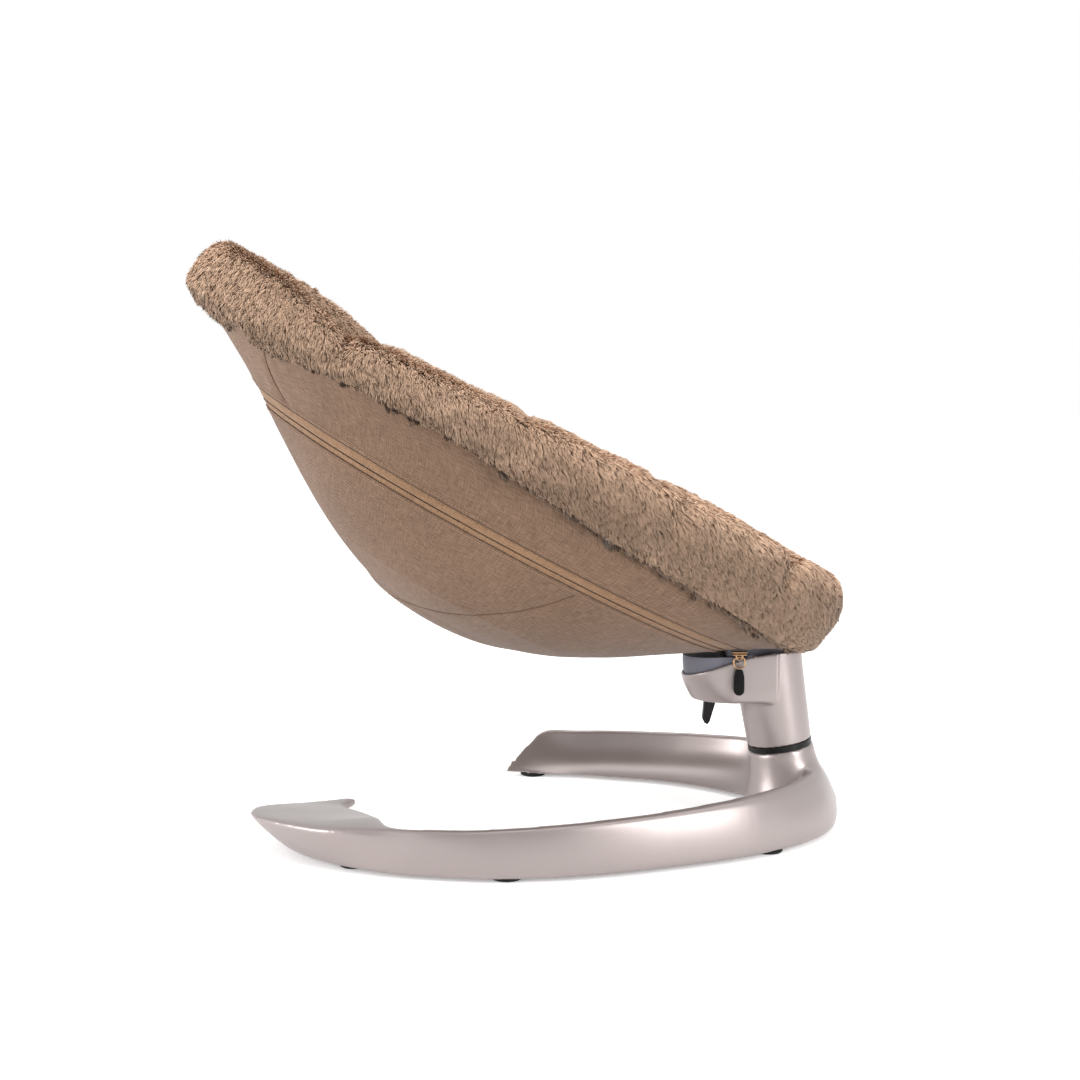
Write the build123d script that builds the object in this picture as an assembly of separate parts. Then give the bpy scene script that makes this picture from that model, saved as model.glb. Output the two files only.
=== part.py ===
from build123d import *
import math
import os

# Swaying bouncer seat: a leaf-shaped fabric seat on a leaning column that turns on a C-shaped ribbon base.
# Millimetres. +Z is up, +X points to the foot end, Y = 0 is the seat's plane of symmetry.

# ---------------------------------------------------------------- driving sizes: seat
seat_slope = 28.67          # tilt of the seat's rim, degrees, head end up
seat_origin = (-271.7, 0.0, 522.9)
rim_head = -56.0            # where the hull's rim starts and ends, along the seat
rim_foot = 663.0
seat_half_width = 203.0
seat_depth = 199.0
hull_squareness = 2.4
end_roundness = 0.5         # radius of the rim's ends, as a share of its half width
cloth = 3.0                 # fabric wall
hoop_radius = 9.0
hoop_wall = 2.0
sleeve_wall = 1.7
cloth_gap = 0.3
zip_top = -72.0             # height band of the zip, below the rim
zip_tape = 5.2
zip_chain = 2.0
zip_bottom = zip_top - 2 * zip_tape - zip_chain

# the hull's keel: height below the rim, where the level starts at the head and ends at the foot
keel = [(0.0, rim_head, rim_foot), (-14.0, -52.0, 661.0), (-42.0, -2.0, 652.0), (-72.0, 47.0, 606.0),
        (-104.0, 90.0, 556.0), (-149.0, 160.0, 481.0), (-180.0, 222.0, 414.0), (-194.0, 262.0, 366.0),
        (-198.0, 290.0, 340.0)]

# ---------------------------------------------------------------- driving sizes: fur insert
insert_top = 34.0
insert_flap = -42.0
hollow_floor = -150.0

# ---------------------------------------------------------------- driving sizes: recline joint
pivot_x = 230.0
pivot_z = 157.0
recline_travel = 13.0
drum_half_width = 37.0
drum_core = 32.5            # the drum's outline is this radius plus a rounded edge
drum_wall = 2.4
drum_gap = 0.8
axle_radius = 5.0
axle_clearance = 0.04
quadrant_radius = 27.0
quadrant_thickness = 5.0
notch_depth = 3.0
slot_half_width = 9.5

# ---------------------------------------------------------------- driving sizes: column and base
ring_centre = (264.0, 0.0, 70.0)
column_lean = 9.4           # degrees towards the head end
column_bottom_radius = 32.5
column_top_radius = 36.0
column_wall = 4.0
ring_thickness = 5.5
running_gap = 0.3
shaft_radius = 12.0
shaft_clearance = 0.04
bush_wall = 3.0
sway_limit = 25.0
foot_radius = 14.5
foot_wear = 1.2             # bevelled edge of a foot, where it meets the floor
stub_bottom = 4.5
ribbon_shift_y = 7.4        # the ribbon's long arm reaches a little further out than its short one
column_height = 104.0       # from the bearing ring to above the rim, along the lean

floor_level = -10.0         # the floor, in the axes the seat and the joints are drawn in
origin_shift_x = 4.0        # puts the origin under the middle of the whole object

pivot = Vector(pivot_x, 0, pivot_z)


# ================================================================ helpers
def lerp(value, table, column):
    """Straight-line lookup in the keel table, by height."""
    rows = sorted(table, key=lambda row: -row[0])
    for high, low in zip(rows, rows[1:]):
        if high[0] >= value >= low[0]:
            share = (high[0] - value) / (high[0] - low[0])
            return high[column] + share * (low[column] - high[column])
    edge = rows[0] if value > rows[0][0] else rows[-1]
    return edge[column]


def half_width(height):
    """Half width of the hull at a height below the rim."""
    share = min(abs(min(height, 0.0)) / seat_depth, 0.999)
    return seat_half_width * (1 - share ** hull_squareness) ** (1 / hull_squareness)


def leaf(head, foot, half, height, inset=0.0):
    """Closed level outline of four tangent arcs: two round ends and two long sides.

    An inset draws the same outline in by that much everywhere.
    """
    middle = (head + foot) / 2
    length = (foot - head) / 2
    half = min(half, 0.97 * length)
    tip = end_roundness * half
    side = ((length - tip) ** 2 / (half - tip) + tip + half) / 2
    drop = side - half
    reach = length - tip
    touch_x = reach + reach / (side - tip) * (tip - inset)
    touch_y = drop / (side - tip) * (tip - inset)
    half = half - inset
    head = head + inset
    foot = foot - inset
    a = (middle - touch_x, touch_y, height)
    b = (middle + touch_x, touch_y, height)
    c = (middle + touch_x, -touch_y, height)
    d = (middle - touch_x, -touch_y, height)
    edges = [ThreePointArc(a, (middle, half, height), b), ThreePointArc(b, (foot, 0, height), c),
             ThreePointArc(c, (middle, -half, height), d), ThreePointArc(d, (head, 0, height), a)]
    return Wire(edges)


def level(height, inset):
    """The hull's outline at a height, drawn in by an inset."""
    return leaf(lerp(height, keel, 1), lerp(height, keel, 2), half_width(height), height, inset)


def stack(wires):
    return Solid.make_loft(wires, ruled=True)


def skin(wires):
    """The curved side faces through a stack of outlines, without its flat ends."""
    return [face for face in stack(wires).faces() if face.geom_type != GeomType.PLANE]


def closed(faces):
    return Solid(Shell(faces))


def band(heights, inset=0.0, wall=cloth):
    """A strip of the hull's wall, all the way round between its first and last height."""
    outer = [level(height, inset) for height in heights]
    inner = [level(height, inset + wall) for height in heights]
    ends = [Face(outer[0], [inner[0]]), Face(outer[-1], [inner[-1]])]
    return closed(skin(outer) + skin(inner) + ends)


def seated(shape):
    """From the seat's own axes to the object's."""
    return Location(seat_origin, (0, seat_slope, 0)) * shape


def along(lift, turn=0.0):
    """Place on the column's leaning axis, measured up from the bearing ring."""
    return Location(ring_centre, (0, -column_lean, 0)) * Location((0, 0, lift), (0, 0, turn))


def rod(start, end, radius):
    start = Vector(*start)
    end = Vector(*end)
    return Solid.make_cylinder(radius, (end - start).length, Plane(start, z_dir=end - start))


def side_plate(points, low, high):
    """A flat outline in the X-Z plane, as thick as from low to high along Y."""
    face = Face(Wire.make_polygon([(x, low, z) for x, z in points], close=True))
    return Solid.extrude(face, Vector(0, high - low, 0))


def across(radius, low, high, x=pivot_x, z=pivot_z):
    """A cylinder along Y."""
    return rod((x, low, z), (x, high, z), radius)


parts = {}


# ================================================================ seat
hoop_inset = cloth + 2 * cloth_gap + hoop_radius + sleeve_wall + 1.2
hoop_path = level(0.0, hoop_inset)


def hoop_tube(radius):
    plane = Plane(hoop_path @ 0, z_dir=hoop_path % 0)
    return Solid.sweep(Face(Wire.make_circle(radius, plane)), hoop_path)


def hoop_pipe(radius, bore):
    """A tube along the hoop, from an upper and a lower half."""
    plane = Plane(hoop_path @ 0, x_dir=(0, 0, 1), z_dir=hoop_path % 0)
    halves = []
    for side in (1, -1):
        outline = Wire([ThreePointArc((0, -radius), (side * radius, 0), (0, radius)), Line((0, radius), (0, bore)),
                        ThreePointArc((0, bore), (side * bore, 0), (0, -bore)), Line((0, -bore), (0, -radius))])
        halves.append(Solid.sweep(Face(outline.moved(plane.location)), hoop_path))
    return halves[0] + halves[1]


# neck of the hub, in the object's axes
neck_low_x = 206.0
neck_high_x = 262.0
neck_half_width = 26.0
neck_top = 178.0
opening_gap = 2.0
neck_opening = Pos((neck_low_x + neck_high_x) / 2, 0, pivot_z + 20) * Box(
    neck_high_x - neck_low_x + 2 * opening_gap, 2 * (neck_half_width + opening_gap), 60)
neck_in_seat = Location(seat_origin, (0, seat_slope, 0)).inverse() * neck_opening

chain_top = zip_top - zip_tape
chain_bottom = chain_top - zip_chain
parts["rim_band"] = seated(band([0.0, -14.0, -42.0, zip_top]) - neck_in_seat)
parts["zip_tape_upper"] = seated(band([zip_top, chain_top]) - neck_in_seat)
parts["zip_teeth"] = seated(band([chain_top, chain_bottom], -0.8, cloth) - neck_in_seat)
parts["zip_tape_lower"] = seated(band([chain_bottom, zip_bottom]) - neck_in_seat)
pouch_heights = [zip_bottom, -104.0, -149.0, -180.0]
pouch_outer = [level(height, 0.0) for height in pouch_heights + [-194.0, -198.0]]
pouch_inner = [level(height, cloth) for height in pouch_heights + [-194.0]]
pouch = closed(skin(pouch_outer) + skin(pouch_inner)
               + [Face(pouch_outer[0], [pouch_inner[0]]), Face(pouch_outer[-1]), Face(pouch_inner[-1])])
parts["seat_pouch"] = seated(pouch - neck_in_seat)

# fork: two struts from the hub's neck to the hoop
hoop_foot = rim_foot - hoop_inset
hoop_end_radius = end_roundness * seat_half_width - hoop_inset
strut_angle = 48.0
strut_radius = 8.0
strut_end = (hoop_foot - hoop_end_radius + hoop_end_radius * math.cos(math.radians(strut_angle)),
             hoop_end_radius * math.sin(math.radians(strut_angle)), 0.0)
strut_foot = (611.0, 14.0, -54.0)
bolt_radius = 3.0


def mirrored(point):
    return (point[0], -point[1], point[2])


hoop = hoop_pipe(hoop_radius, hoop_radius - hoop_wall)
sleeve = hoop_pipe(hoop_radius + cloth_gap + sleeve_wall, hoop_radius + cloth_gap)
strut_pair = []
bolt_pair = []
for end, foot in ((strut_end, strut_foot), (mirrored(strut_end), mirrored(strut_foot))):
    strut_pair.append(rod(foot, end, strut_radius))
    outward = (Vector(*end) - Vector(*foot)).normalized()
    shank = rod(tuple(Vector(*end) - outward * 30), tuple(Vector(*end) + outward * (hoop_radius + 1.0)), bolt_radius)
    head = rod(tuple(Vector(*end) + outward * (hoop_radius - 1.0)),
               tuple(Vector(*end) + outward * (hoop_radius + 1.8)), bolt_radius + 1.6)
    bolt_pair.append(shank + (head - hoop_tube(hoop_radius + 0.05)))
    hoop = hoop - rod(foot, tuple(Vector(*end) + outward * 20), bolt_radius + 0.1)
    sleeve = sleeve - rod(foot, tuple(Vector(*end) + outward * 20), strut_radius + 1.0)
parts["rim_hoop"] = seated(hoop)
parts["hoop_sleeve"] = seated(sleeve)

plate_height = 6.0
fork_plate = Pos((neck_low_x + neck_high_x) / 2, 0, neck_top + plate_height / 2) * Box(
    neck_high_x - neck_low_x, 2 * neck_half_width, plate_height)
fork = fork_plate
for strut in strut_pair:
    fork = fork + seated(strut - hoop_tube(hoop_radius + 0.02))
fork = fork - Pos(234, 0, neck_top - 50) * Box(200, 200, 100)
for bolt in bolt_pair:
    fork = fork - seated(bolt)
plate_screw_x = 22.0
plate_screw_y = 18.0
neck_middle = (neck_low_x + neck_high_x) / 2
screw_spots = [(neck_middle + sx * plate_screw_x, sy * plate_screw_y) for sx in (-1, 1) for sy in (-1, 1)]
plate_screws = []
for x, y in screw_spots:
    shank = rod((x, y, neck_top - 14), (x, y, neck_top + plate_height), 2.5)
    head = rod((x, y, neck_top + plate_height), (x, y, neck_top + plate_height + 3), 4.5)
    plate_screws.append(shank + head)
    fork = fork - rod((x, y, neck_top - 1), (x, y, neck_top + 40), 2.6) - rod(
        (x, y, neck_top + plate_height), (x, y, neck_top + 40), 4.8)
parts["seat_fork"] = fork
parts["fork_screws"] = Compound(plate_screws)
parts["hoop_bolts"] = Compound([seated(bolt) for bolt in bolt_pair])

# fur insert: a thick padded liner that folds over the rim and hangs outside down to its elastic edge
hoop_roof = hoop_radius + sleeve_wall + cloth_gap + 1.4
flap_outer = [level(insert_flap, -8.0), level(-14.0, -11.0),
              level(0.0, -11.5), level(11.6, -10.0), level(20.0, -7.0), level(28.0, -1.5),
              level(insert_top, 7.0)]
flap_inner = [level(insert_flap, -0.6), level(-14.0, -0.6), level(0.0, -0.6), level(hoop_roof, -0.6)]
pad_inset = hoop_inset + hoop_radius + cloth_gap + sleeve_wall + 0.9
pad_outer = [level(hoop_roof, pad_inset), level(0.0, pad_inset), level(-14.0, pad_inset), level(-42.0, 16.0),
             level(-72.0, 12.0), level(-104.0, 9.0), level(-149.0, 8.0), level(-180.0, 8.0)]


def nest(height, inset, foot):
    """An outline of the hollow the child lies in, with extra padding at the foot."""
    return leaf(lerp(height, keel, 1), lerp(height, keel, 2) - foot, half_width(height), height, inset)


hollow = [nest(insert_top, 40.0, 0), nest(14.0, 47.0, 0), nest(0.0, 51.0, 4), nest(-42.0, 52.0, 18),
          nest(-72.0, 48.0, 26), nest(-104.0, 42.0, 20), nest(-130.0, 37.0, 8), nest(hollow_floor, 38.0, 0)]
insert = closed(skin(flap_outer) + skin(flap_inner) + skin(pad_outer) + skin(hollow)
                + [Face(flap_outer[0], [flap_inner[0]]), Face(flap_inner[-1], [pad_outer[0]]),
                   Face(flap_outer[-1], [hollow[0]]), Face(pad_outer[-1]), Face(hollow[-1])])
insert = insert - Location(seat_origin, (0, seat_slope, 0)).inverse() * (Pos(233, 0, 130) * Box(74, 64, 120))
for end, foot in ((strut_end, strut_foot), (mirrored(strut_end), mirrored(strut_foot))):
    insert = insert - rod(foot, tuple(Vector(*end) + (Vector(*end) - Vector(*foot)).normalized() * 8), strut_radius + 1.5)
parts["fur_insert"] = seated(insert)

# zip sliders, one each side of the hub, and their hanging pulls
slider_y = 38.0
slider_x = 216.0
slider_z = 169.7
pull_pivot_z = 165.3
pull_thickness = 2.0
for side, name in ((-1, "near"), (1, "far")):
    y = side * (slider_y + 5.0)
    body = Pos(slider_x, y, slider_z) * Box(16, 7, 4.4)
    bail = Pos(slider_x, y, pull_pivot_z) * Box(7, 4.4, 5.2)
    eye = rod((slider_x - 5, y, pull_pivot_z), (slider_x + 5, y, pull_pivot_z), 1.25)
    parts["zip_slider_" + name] = body + bail - eye
    link = Pos(slider_x, y, pull_pivot_z - 4.8) * (Box(13, 1.8, 12) - Pos(0, 0, 2.4) * Box(9.0, 4, 12))
    link = link + rod((slider_x - 5, y, pull_pivot_z), (slider_x + 5, y, pull_pivot_z), 1.2)
    tab = Pos(slider_x, y, pull_pivot_z - 22) * Box(10.5, pull_thickness, 22)
    tab = tab + rod((slider_x, y - pull_thickness / 2, pull_pivot_z - 33),
                    (slider_x, y + pull_thickness / 2, pull_pivot_z - 33), 5.25)
    parts["zip_link_" + name] = link
    parts["zip_tab_" + name] = tab


# ================================================================ recline joint
def drum(shrink):
    """Round-edged drum about the recline axle; shrink draws its whole skin in."""
    edge = drum_half_width - shrink
    outline = Wire([Line((-edge, 0), (-edge, drum_core)),
                    ThreePointArc((-edge, drum_core), (0, drum_core + edge), (edge, drum_core)),
                    Line((edge, drum_core), (edge, 0)), Line((edge, 0), (-edge, 0))])
    plane = Plane(origin=(pivot_x, 0, pivot_z), x_dir=(0, 1, 0), z_dir=(1, 0, 0))
    face = Face(outline.moved(plane.location))
    return Solid.revolve(face, 360, Axis((pivot_x, 0, pivot_z), (0, 1, 0)))


cup_floor = 117.0
cup_floor_thickness = 4.0
rim_low = (158.0, 141.0)
rim_bend = (224.0, 163.6)
rim_end = (300.0, 164.2)
above_rim = side_plate([rim_low, rim_bend, rim_end, (300, 240), (100, 240), (100, 120)], -60, 60)


def hub_block_shape():
    """The drum's lower part inside the cup, with a neck up through the fabric."""
    top = [(150, 161.0), (200, 163.8), (266, 163.8), (266, 122.4), (230, 122.4), (200, 128.2), (173, 134.2), (150, 139.2)]
    shape = drum(drum_wall + drum_gap) & side_plate(top, -drum_half_width, drum_half_width)
    plan = Pos(238, 0, 150) * Cylinder(28, 100) + Pos(178, 0, 150) * Box(100, 80, 100)
    shape = shape & plan
    neck = Pos(neck_middle, 0, (150 + neck_top) / 2) * Box(neck_high_x - neck_low_x, 2 * neck_half_width,
                                                          neck_top - 150)
    shape = shape + neck
    slot_ring = across(60, -slot_half_width, slot_half_width) - across(quadrant_radius - notch_depth - 1.5, -30, 30)
    below = Pos(pivot_x, 0, pivot_z - 8 - 50) * Box(200, 60, 100)
    return shape - (slot_ring & below)


hub = hub_block_shape()
quadrant_slot = across(quadrant_radius + 2.1, -quadrant_thickness / 2 - 0.1, quadrant_thickness / 2 + 0.1)
hub = hub - quadrant_slot
bush_radius = axle_radius + 2.0
for y in (-1, 1):
    low = min(y * 26, y * 4)
    hub = hub - across(bush_radius + 0.02, low, low + 22)
hub = hub - across(axle_radius + 0.3, -40, 40)
rivet_spots = [(pivot_x + 19 * math.sin(math.radians(t)), pivot_z - 19 * math.cos(math.radians(t)))
               for t in (-62, 62)]
for x, z in rivet_spots:
    hub = hub - across(2.52, -16, 16, x, z)
for x, y in screw_spots:
    hub = hub - rod((x, y, neck_top - 14.5), (x, y, neck_top + 1), 2.6)
parts["hub_block"] = hub

quadrant = across(quadrant_radius, -quadrant_thickness / 2, quadrant_thickness / 2)
quadrant = quadrant & side_plate([(180, 100), (280, 100), (280, 163), (180, 163)], -10, 10)
quadrant = quadrant - across(axle_radius + 0.3, -10, 10)
for step in (0.0, recline_travel / 2, recline_travel):
    angle = math.radians(step)
    x = pivot_x + quadrant_radius * math.sin(angle) * -1
    z = pivot_z - quadrant_radius * math.cos(angle)
    quadrant = quadrant - Location((x, 0, z), (0, step, 0)) * Box(2.6, 10, 2 * notch_depth)
for x, z in rivet_spots:
    quadrant = quadrant - across(2.52, -16, 16, x, z)
parts["notch_plate"] = quadrant
parts["notch_plate_rivets"] = Compound([across(2.5, -15.8, 15.8, x, z) for x, z in rivet_spots])
parts["recline_bushes"] = Compound([across(bush_radius, low, low + 20.0) - across(axle_radius + axle_clearance, -40, 40)
                                    for low in (-24.5, 4.5)])
axle_near_end = -36.2          # the near end sits in a blind bore, so that side of the cup stays plain
axle_far_end = 36.0
parts["recline_axle"] = across(axle_radius, axle_near_end, axle_far_end)
parts["thrust_washers"] = Compound([across(9.0, low, low + drum_gap - 0.1) - across(axle_radius + 0.1, -40, 40)
                                    for low in (drum_half_width - drum_wall - drum_gap + 0.05,
                                                -(drum_half_width - drum_wall) + 0.05)])


# ================================================================ column
def column_cone(shrink, low, high):
    slope = (column_top_radius - column_bottom_radius) / column_height
    bottom = column_bottom_radius + slope * low - shrink
    top = column_bottom_radius + slope * high - shrink
    return along(low) * Solid.make_cone(bottom, top, high - low)


housing_low = ring_thickness / 2 + running_gap
housing = column_cone(0, housing_low, column_height + 30)
cup = drum(0) & side_plate([(140, cup_floor), (256, cup_floor), (256, 200), (140, 200)], -60, 60)
housing = housing + cup
cavity = drum(drum_wall) & side_plate([(140, cup_floor + cup_floor_thickness), (250, cup_floor + cup_floor_thickness),
                                       (250, 200), (140, 200)], -60, 60)
cavity = cavity + (column_cone(column_wall, 42, column_height + 20)
                   & side_plate([(222, 108), (320, 108), (320, 220), (222, 220)], -60, 60))
housing = housing - cavity - above_rim
boss_radius = 18.0
pocket = column_cone(column_wall, 12, 43) - along(0) * Solid.make_cylinder(boss_radius, 60)
guide_block = Pos(232, 0, 110) * Box(26, 24, 20)
pocket = pocket - Pos(236, 0, 104) * Box(34, 24, 32)
housing = housing - pocket
housing = housing + (guide_block & column_cone(column_wall - 1, 20, 90)
                     & side_plate([(205, 95), (320, 95), (320, 119), (205, 119)], -60, 60))
shaft_seat_top = 36.0
housing = housing - along(housing_low - 1) * Solid.make_cylinder(shaft_radius + 0.02, shaft_seat_top - housing_low + 1)

# release lever, its lugs and the sliding pawl
lever_pin = (197.0, 126.5)
lever_pin_radius = 2.5
pawl_half = 4.0
pawl_x = 230.0
pawl_low = 108.0
spring_low = 97.0
pawl_tip = pivot_z - quadrant_radius - 0.3
lever_slot = Pos(192.4, 0, cup_floor + 2) * Box(17.8, 11.4, 16)
housing = housing - lever_slot
for y in (-7.0, 7.0):
    lug = Pos(197, y, 125) * Box(10, 3.2, 12)
    housing = housing + lug
housing = housing - across(lever_pin_radius + 0.02, -9, 9, *lever_pin)
housing = housing - Pos(pawl_x, 0, spring_low + 15) * Box(2 * pawl_half + 0.3, 2 * pawl_half + 0.3, 30)
housing = housing - across(axle_radius + 0.02, axle_near_end, 40)
stop_radius = 24.0
stop_pin_radius = 2.5
stop_depth = 9.0
housing = housing - along(0) * Location((stop_radius, 0, 0)) * Solid.make_cylinder(stop_pin_radius + 0.02, 9)
parts["column_housing"] = housing
parts["recline_axle_cap"] = across(axle_radius, axle_far_end, drum_half_width - 0.1)
parts["stop_pin"] = along(-stop_depth) * Location((stop_radius, 0, 0)) * Solid.make_cylinder(
    stop_pin_radius, stop_depth + 8.5)
parts["lever_pin"] = across(lever_pin_radius, -8.4, 8.4, *lever_pin)

lever_profile = [(191.5, 129.0), (186.2, 119), (184.2, 95.0), (186.2, 91.2), (189.2, 89.6), (191.6, 92.8),
                 (198.6, 116.5), (202.0, 123.4), (228.4, 124.4), (228.4, 127.2), (203.0, 128.0), (200.0, 130.6),
                 (194.0, 130.6)]
lever = side_plate(lever_profile, -5.0, 5.0)
lever = lever - across(lever_pin_radius + 0.04, -9, 9, *lever_pin)
lever = lever & (Pos(190, 0, 110) * Box(44, 20, 60) + Pos(215, 0, 126) * Box(40, 5.6, 20))
parts["recline_lever"] = lever

pawl = Pos(pawl_x, 0, (pawl_low + pawl_tip) / 2) * Box(2 * pawl_half, 2 * pawl_half, pawl_tip - pawl_low)
for side in (-1, 1):
    pawl = pawl - side_plate([(pawl_x + side * 1.0, pawl_tip + 0.1), (pawl_x + side * 4.2, pawl_tip + 0.1),
                              (pawl_x + side * 4.2, pawl_tip - 5)], -10, 10)
pawl = pawl - Pos(pawl_x - 2.6, 0, 125.8) * Box(6.0, 7.2, 4.8)
parts["lock_pawl"] = pawl
spring_wire = 0.6
coil = Pos(pawl_x, 0, spring_low + spring_wire + 0.05) * Helix(2.1, 8.9, 2.9)
coil_end = Plane(coil @ 0, z_dir=coil % 0)
parts["pawl_spring"] = Solid.sweep(Face(Wire.make_circle(spring_wire, coil_end)), coil, is_frenet=True)

# shaft with its nut, turning in two bushes inside the base's stub
shaft_low = -60.0
parts["column_shaft"] = along(shaft_low) * Solid.make_cylinder(shaft_radius, shaft_seat_top - 1 - shaft_low)
nut_low = -59.0
nut_height = 8.0
nut = along(nut_low) * (Solid.extrude(Face(Wire.make_polygon(
    [(17 * math.cos(math.radians(60 * k)), 17 * math.sin(math.radians(60 * k)), 0) for k in range(6)], close=True)),
    Vector(0, 0, nut_height)) - Solid.make_cylinder(shaft_radius + 0.02, 40, Plane((0, 0, -10))))
parts["shaft_nut"] = nut
washer_height = 1.8
parts["shaft_washer"] = along(nut_low + nut_height) * (Solid.make_cylinder(18.5, washer_height)
                                                       - Solid.make_cylinder(shaft_radius + 0.02, 5))


# ================================================================ base
def section(x, y, outward, corners, bulge, scoop):
    """One slice of the ribbon, in an upright plane through (x, y) that looks outward at an angle.

    corners: outer bottom, outer top, inner top, inner bottom, each as (outward, height).
    """
    direction = Vector(math.cos(math.radians(outward)), math.sin(math.radians(outward)), 0)

    def place(point):
        return Vector(x, y + ribbon_shift_y, floor_level) + direction * point[0] + Vector(0, 0, point[1])

    outer_low, outer_high, inner_high, inner_low = corners
    outer_mid = ((outer_low[0] + outer_high[0]) / 2 + bulge, (outer_low[1] + outer_high[1]) / 2)
    inner_mid = ((inner_high[0] + inner_low[0]) / 2 + scoop[0], (inner_high[1] + inner_low[1]) / 2 + scoop[1])
    crown = ((outer_high[0] + inner_high[0]) / 2, max(outer_high[1], inner_high[1]) + 0.6)
    if inner_high[1] < outer_high[1] - 3:
        crown = ((outer_high[0] + inner_high[0]) / 2, (outer_high[1] + inner_high[1]) / 2 + 0.5)
    return Wire([ThreePointArc(place(outer_low), place(outer_mid), place(outer_high)),
                 ThreePointArc(place(outer_high), place(crown), place(inner_high)),
                 ThreePointArc(place(inner_high), place(inner_mid), place(inner_low)),
                 Line(place(inner_low), place(outer_low))])


ribbon = [
    section(-180, 12, 176, [(3, 8), (5, 16), (-5, 16), (-5, 8)], 0.5, (-0.5, 0)),
    section(-196, -25, 184, [(10, 8), (26, 23), (-13, 19), (-12, 8)], 1.5, (-0.5, 0)),
    section(-200, -70, 186, [(24, 9), (62, 33), (-40, 25), (-39, 7)], 3, (-0.5, 0)),
    section(-196, -112, 188, [(30, 7.5), (64, 37.5), (-55, 31), (-53, 6)], 4, (1.0, 0)),
    section(-183, -142, 198, [(27, 6), (48, 40.5), (-50, 36), (-48, 5)], 3, (3, -2)),
    section(-157, -169, 226, [(17, 4.5), (31, 42.5), (-37, 39.5), (-39, 3.5)], 1.5, (6, -4)),
    section(-118, -199, 250, [(5, 3.5), (4, 44), (-9, 43.5), (-40, 3)], 1.5, (5, -6)),
    section(-75, -213, 263, [(0, 3), (0, 44.5), (-10, 45.5), (-36, 3)], 1.8, (6, -7)),
    section(-25, -219, 269, [(0, 3), (-3, 46), (-12, 47), (-36, 3)], 2, (6, -8)),
    section(50, -211, 281, [(0, 3), (-3, 48), (-13, 50), (-38, 3)], 2, (6, -8)),
    section(138, -184, 294, [(0, 3), (-5, 49.5), (-16, 52.5), (-40, 3)], 2.5, (5, -8)),
    section(232, -141, 314, [(0, 3), (-6, 52), (-21, 57), (-47, 3)], 3, (4, -6)),
    section(301, -78, 334, [(0, 3), (-14, 54), (-30, 58), (-53, 3)], 4, (4, -4)),
    section(325, 4, 2, [(0, 3), (-18, 57), (-32, 60), (-55, 3)], 5.5, (4, -4)),
    section(306, 80, 27, [(0, 3), (-10, 53), (-25, 56), (-64, 3)], 4, (6, -6)),
    section(258, 138, 50, [(0, 3), (2, 50), (-10, 52), (-72, 3)], 2.5, (14, -10)),
    section(186, 174, 62, [(0, 3), (3, 48), (-7, 49), (-61, 3)], 2, (12, -10)),
    section(110, 191, 74, [(0, 3), (5, 46.5), (-5, 47.5), (-50, 3)], 2, (10, -9)),
    section(60, 196, 80, [(0, 4), (6, 45.5), (-4, 46.5), (-41, 3)], 2, (8, -8)),
    section(14, 187, 56, [(8, 6), (23, 44), (14, 45), (-29, 3.5)], 1.5, (3, -3)),
    section(-8, 180, 42, [(8, 9), (20, 30), (13, 31), (-22, 4)], 1, (-1, 2)),
]
stub_low = -77.0
stub = along(stub_low) * Solid.make_cone(38.2, 33.2, -stub_low - ring_thickness / 2)
stub = stub & (Pos(0, 0, 100 + stub_bottom + floor_level) * Box(900, 900, 200))
base = Solid.make_loft(ribbon, ruled=True) + stub
bush_outer = shaft_radius + bush_wall
counterbore = 20.0
upper_bush_low = -18.0
lower_bush_low = -49.0
lower_bush_length = 10.0
base = base - along(-90) * Solid.make_cylinder(bush_outer + 0.02, 110)
base = base - along(-110) * Solid.make_cylinder(counterbore, 110 + nut_low + nut_height + washer_height + 0.1)
slot_sweep = sway_limit + 6.3
slot_floor = -stop_depth - 1


def arc_slot(low, high):
    inner = stop_radius - stop_pin_radius - 0.3
    outer = stop_radius + stop_pin_radius + 0.3
    ring = Solid.make_cylinder(outer, high - low) - Solid.make_cylinder(inner, high - low)
    wedge = Face(Wire.make_polygon([(0, 0, 0), (60, -60 * math.tan(math.radians(slot_sweep)), 0),
                                    (60, 60 * math.tan(math.radians(slot_sweep)), 0)], close=True))
    return along(low) * (ring & Solid.extrude(wedge, Vector(0, 0, high - low)))


base = base - arc_slot(slot_floor, 0)
foot_spots = [(-196, -118, 6.1), (-154, -162, 3.7), (-12, -200, 3.0), (236, -118, 3.0), (236, 108, 3.0),
              (10, 178, 3.4)]
for number, (x, y, top) in enumerate(foot_spots, start=1):
    pad = Solid.make_cone(foot_radius - 1, foot_radius, foot_wear) + rod((0, 0, foot_wear), (0, 0, top), foot_radius)
    parts["rubber_foot_%d" % number] = Pos(x, y + ribbon_shift_y, floor_level) * pad
parts["base_ribbon"] = base
parts["bearing_ring"] = (along(-ring_thickness / 2) * (Solid.make_cylinder(32.6, ring_thickness)
                         - Solid.make_cylinder(shaft_radius + 0.3, ring_thickness))) - arc_slot(-10, 10)
parts["upper_bush"] = along(upper_bush_low) * (Solid.make_cylinder(bush_outer, 14)
                                               - Solid.make_cylinder(shaft_radius + shaft_clearance, 14))
parts["lower_bush"] = along(lower_bush_low + 0.1) * (Solid.make_cylinder(bush_outer, lower_bush_length)
                                                     - Solid.make_cylinder(shaft_radius + shaft_clearance, 14))
plug_z = stub_bottom + floor_level + 0.2
plug = (along(-95) * Solid.make_cylinder(counterbore - 0.02, 75)) & (Pos(0, 0, plug_z + 1.5) * Box(900, 900, 3))
parts["shaft_cover"] = plug

# ================================================================ export
os.makedirs("parts", exist_ok=True)
for name, shape in parts.items():
    export_step(Pos(origin_shift_x, 0, -floor_level) * shape, "parts/" + name + ".step")
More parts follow.
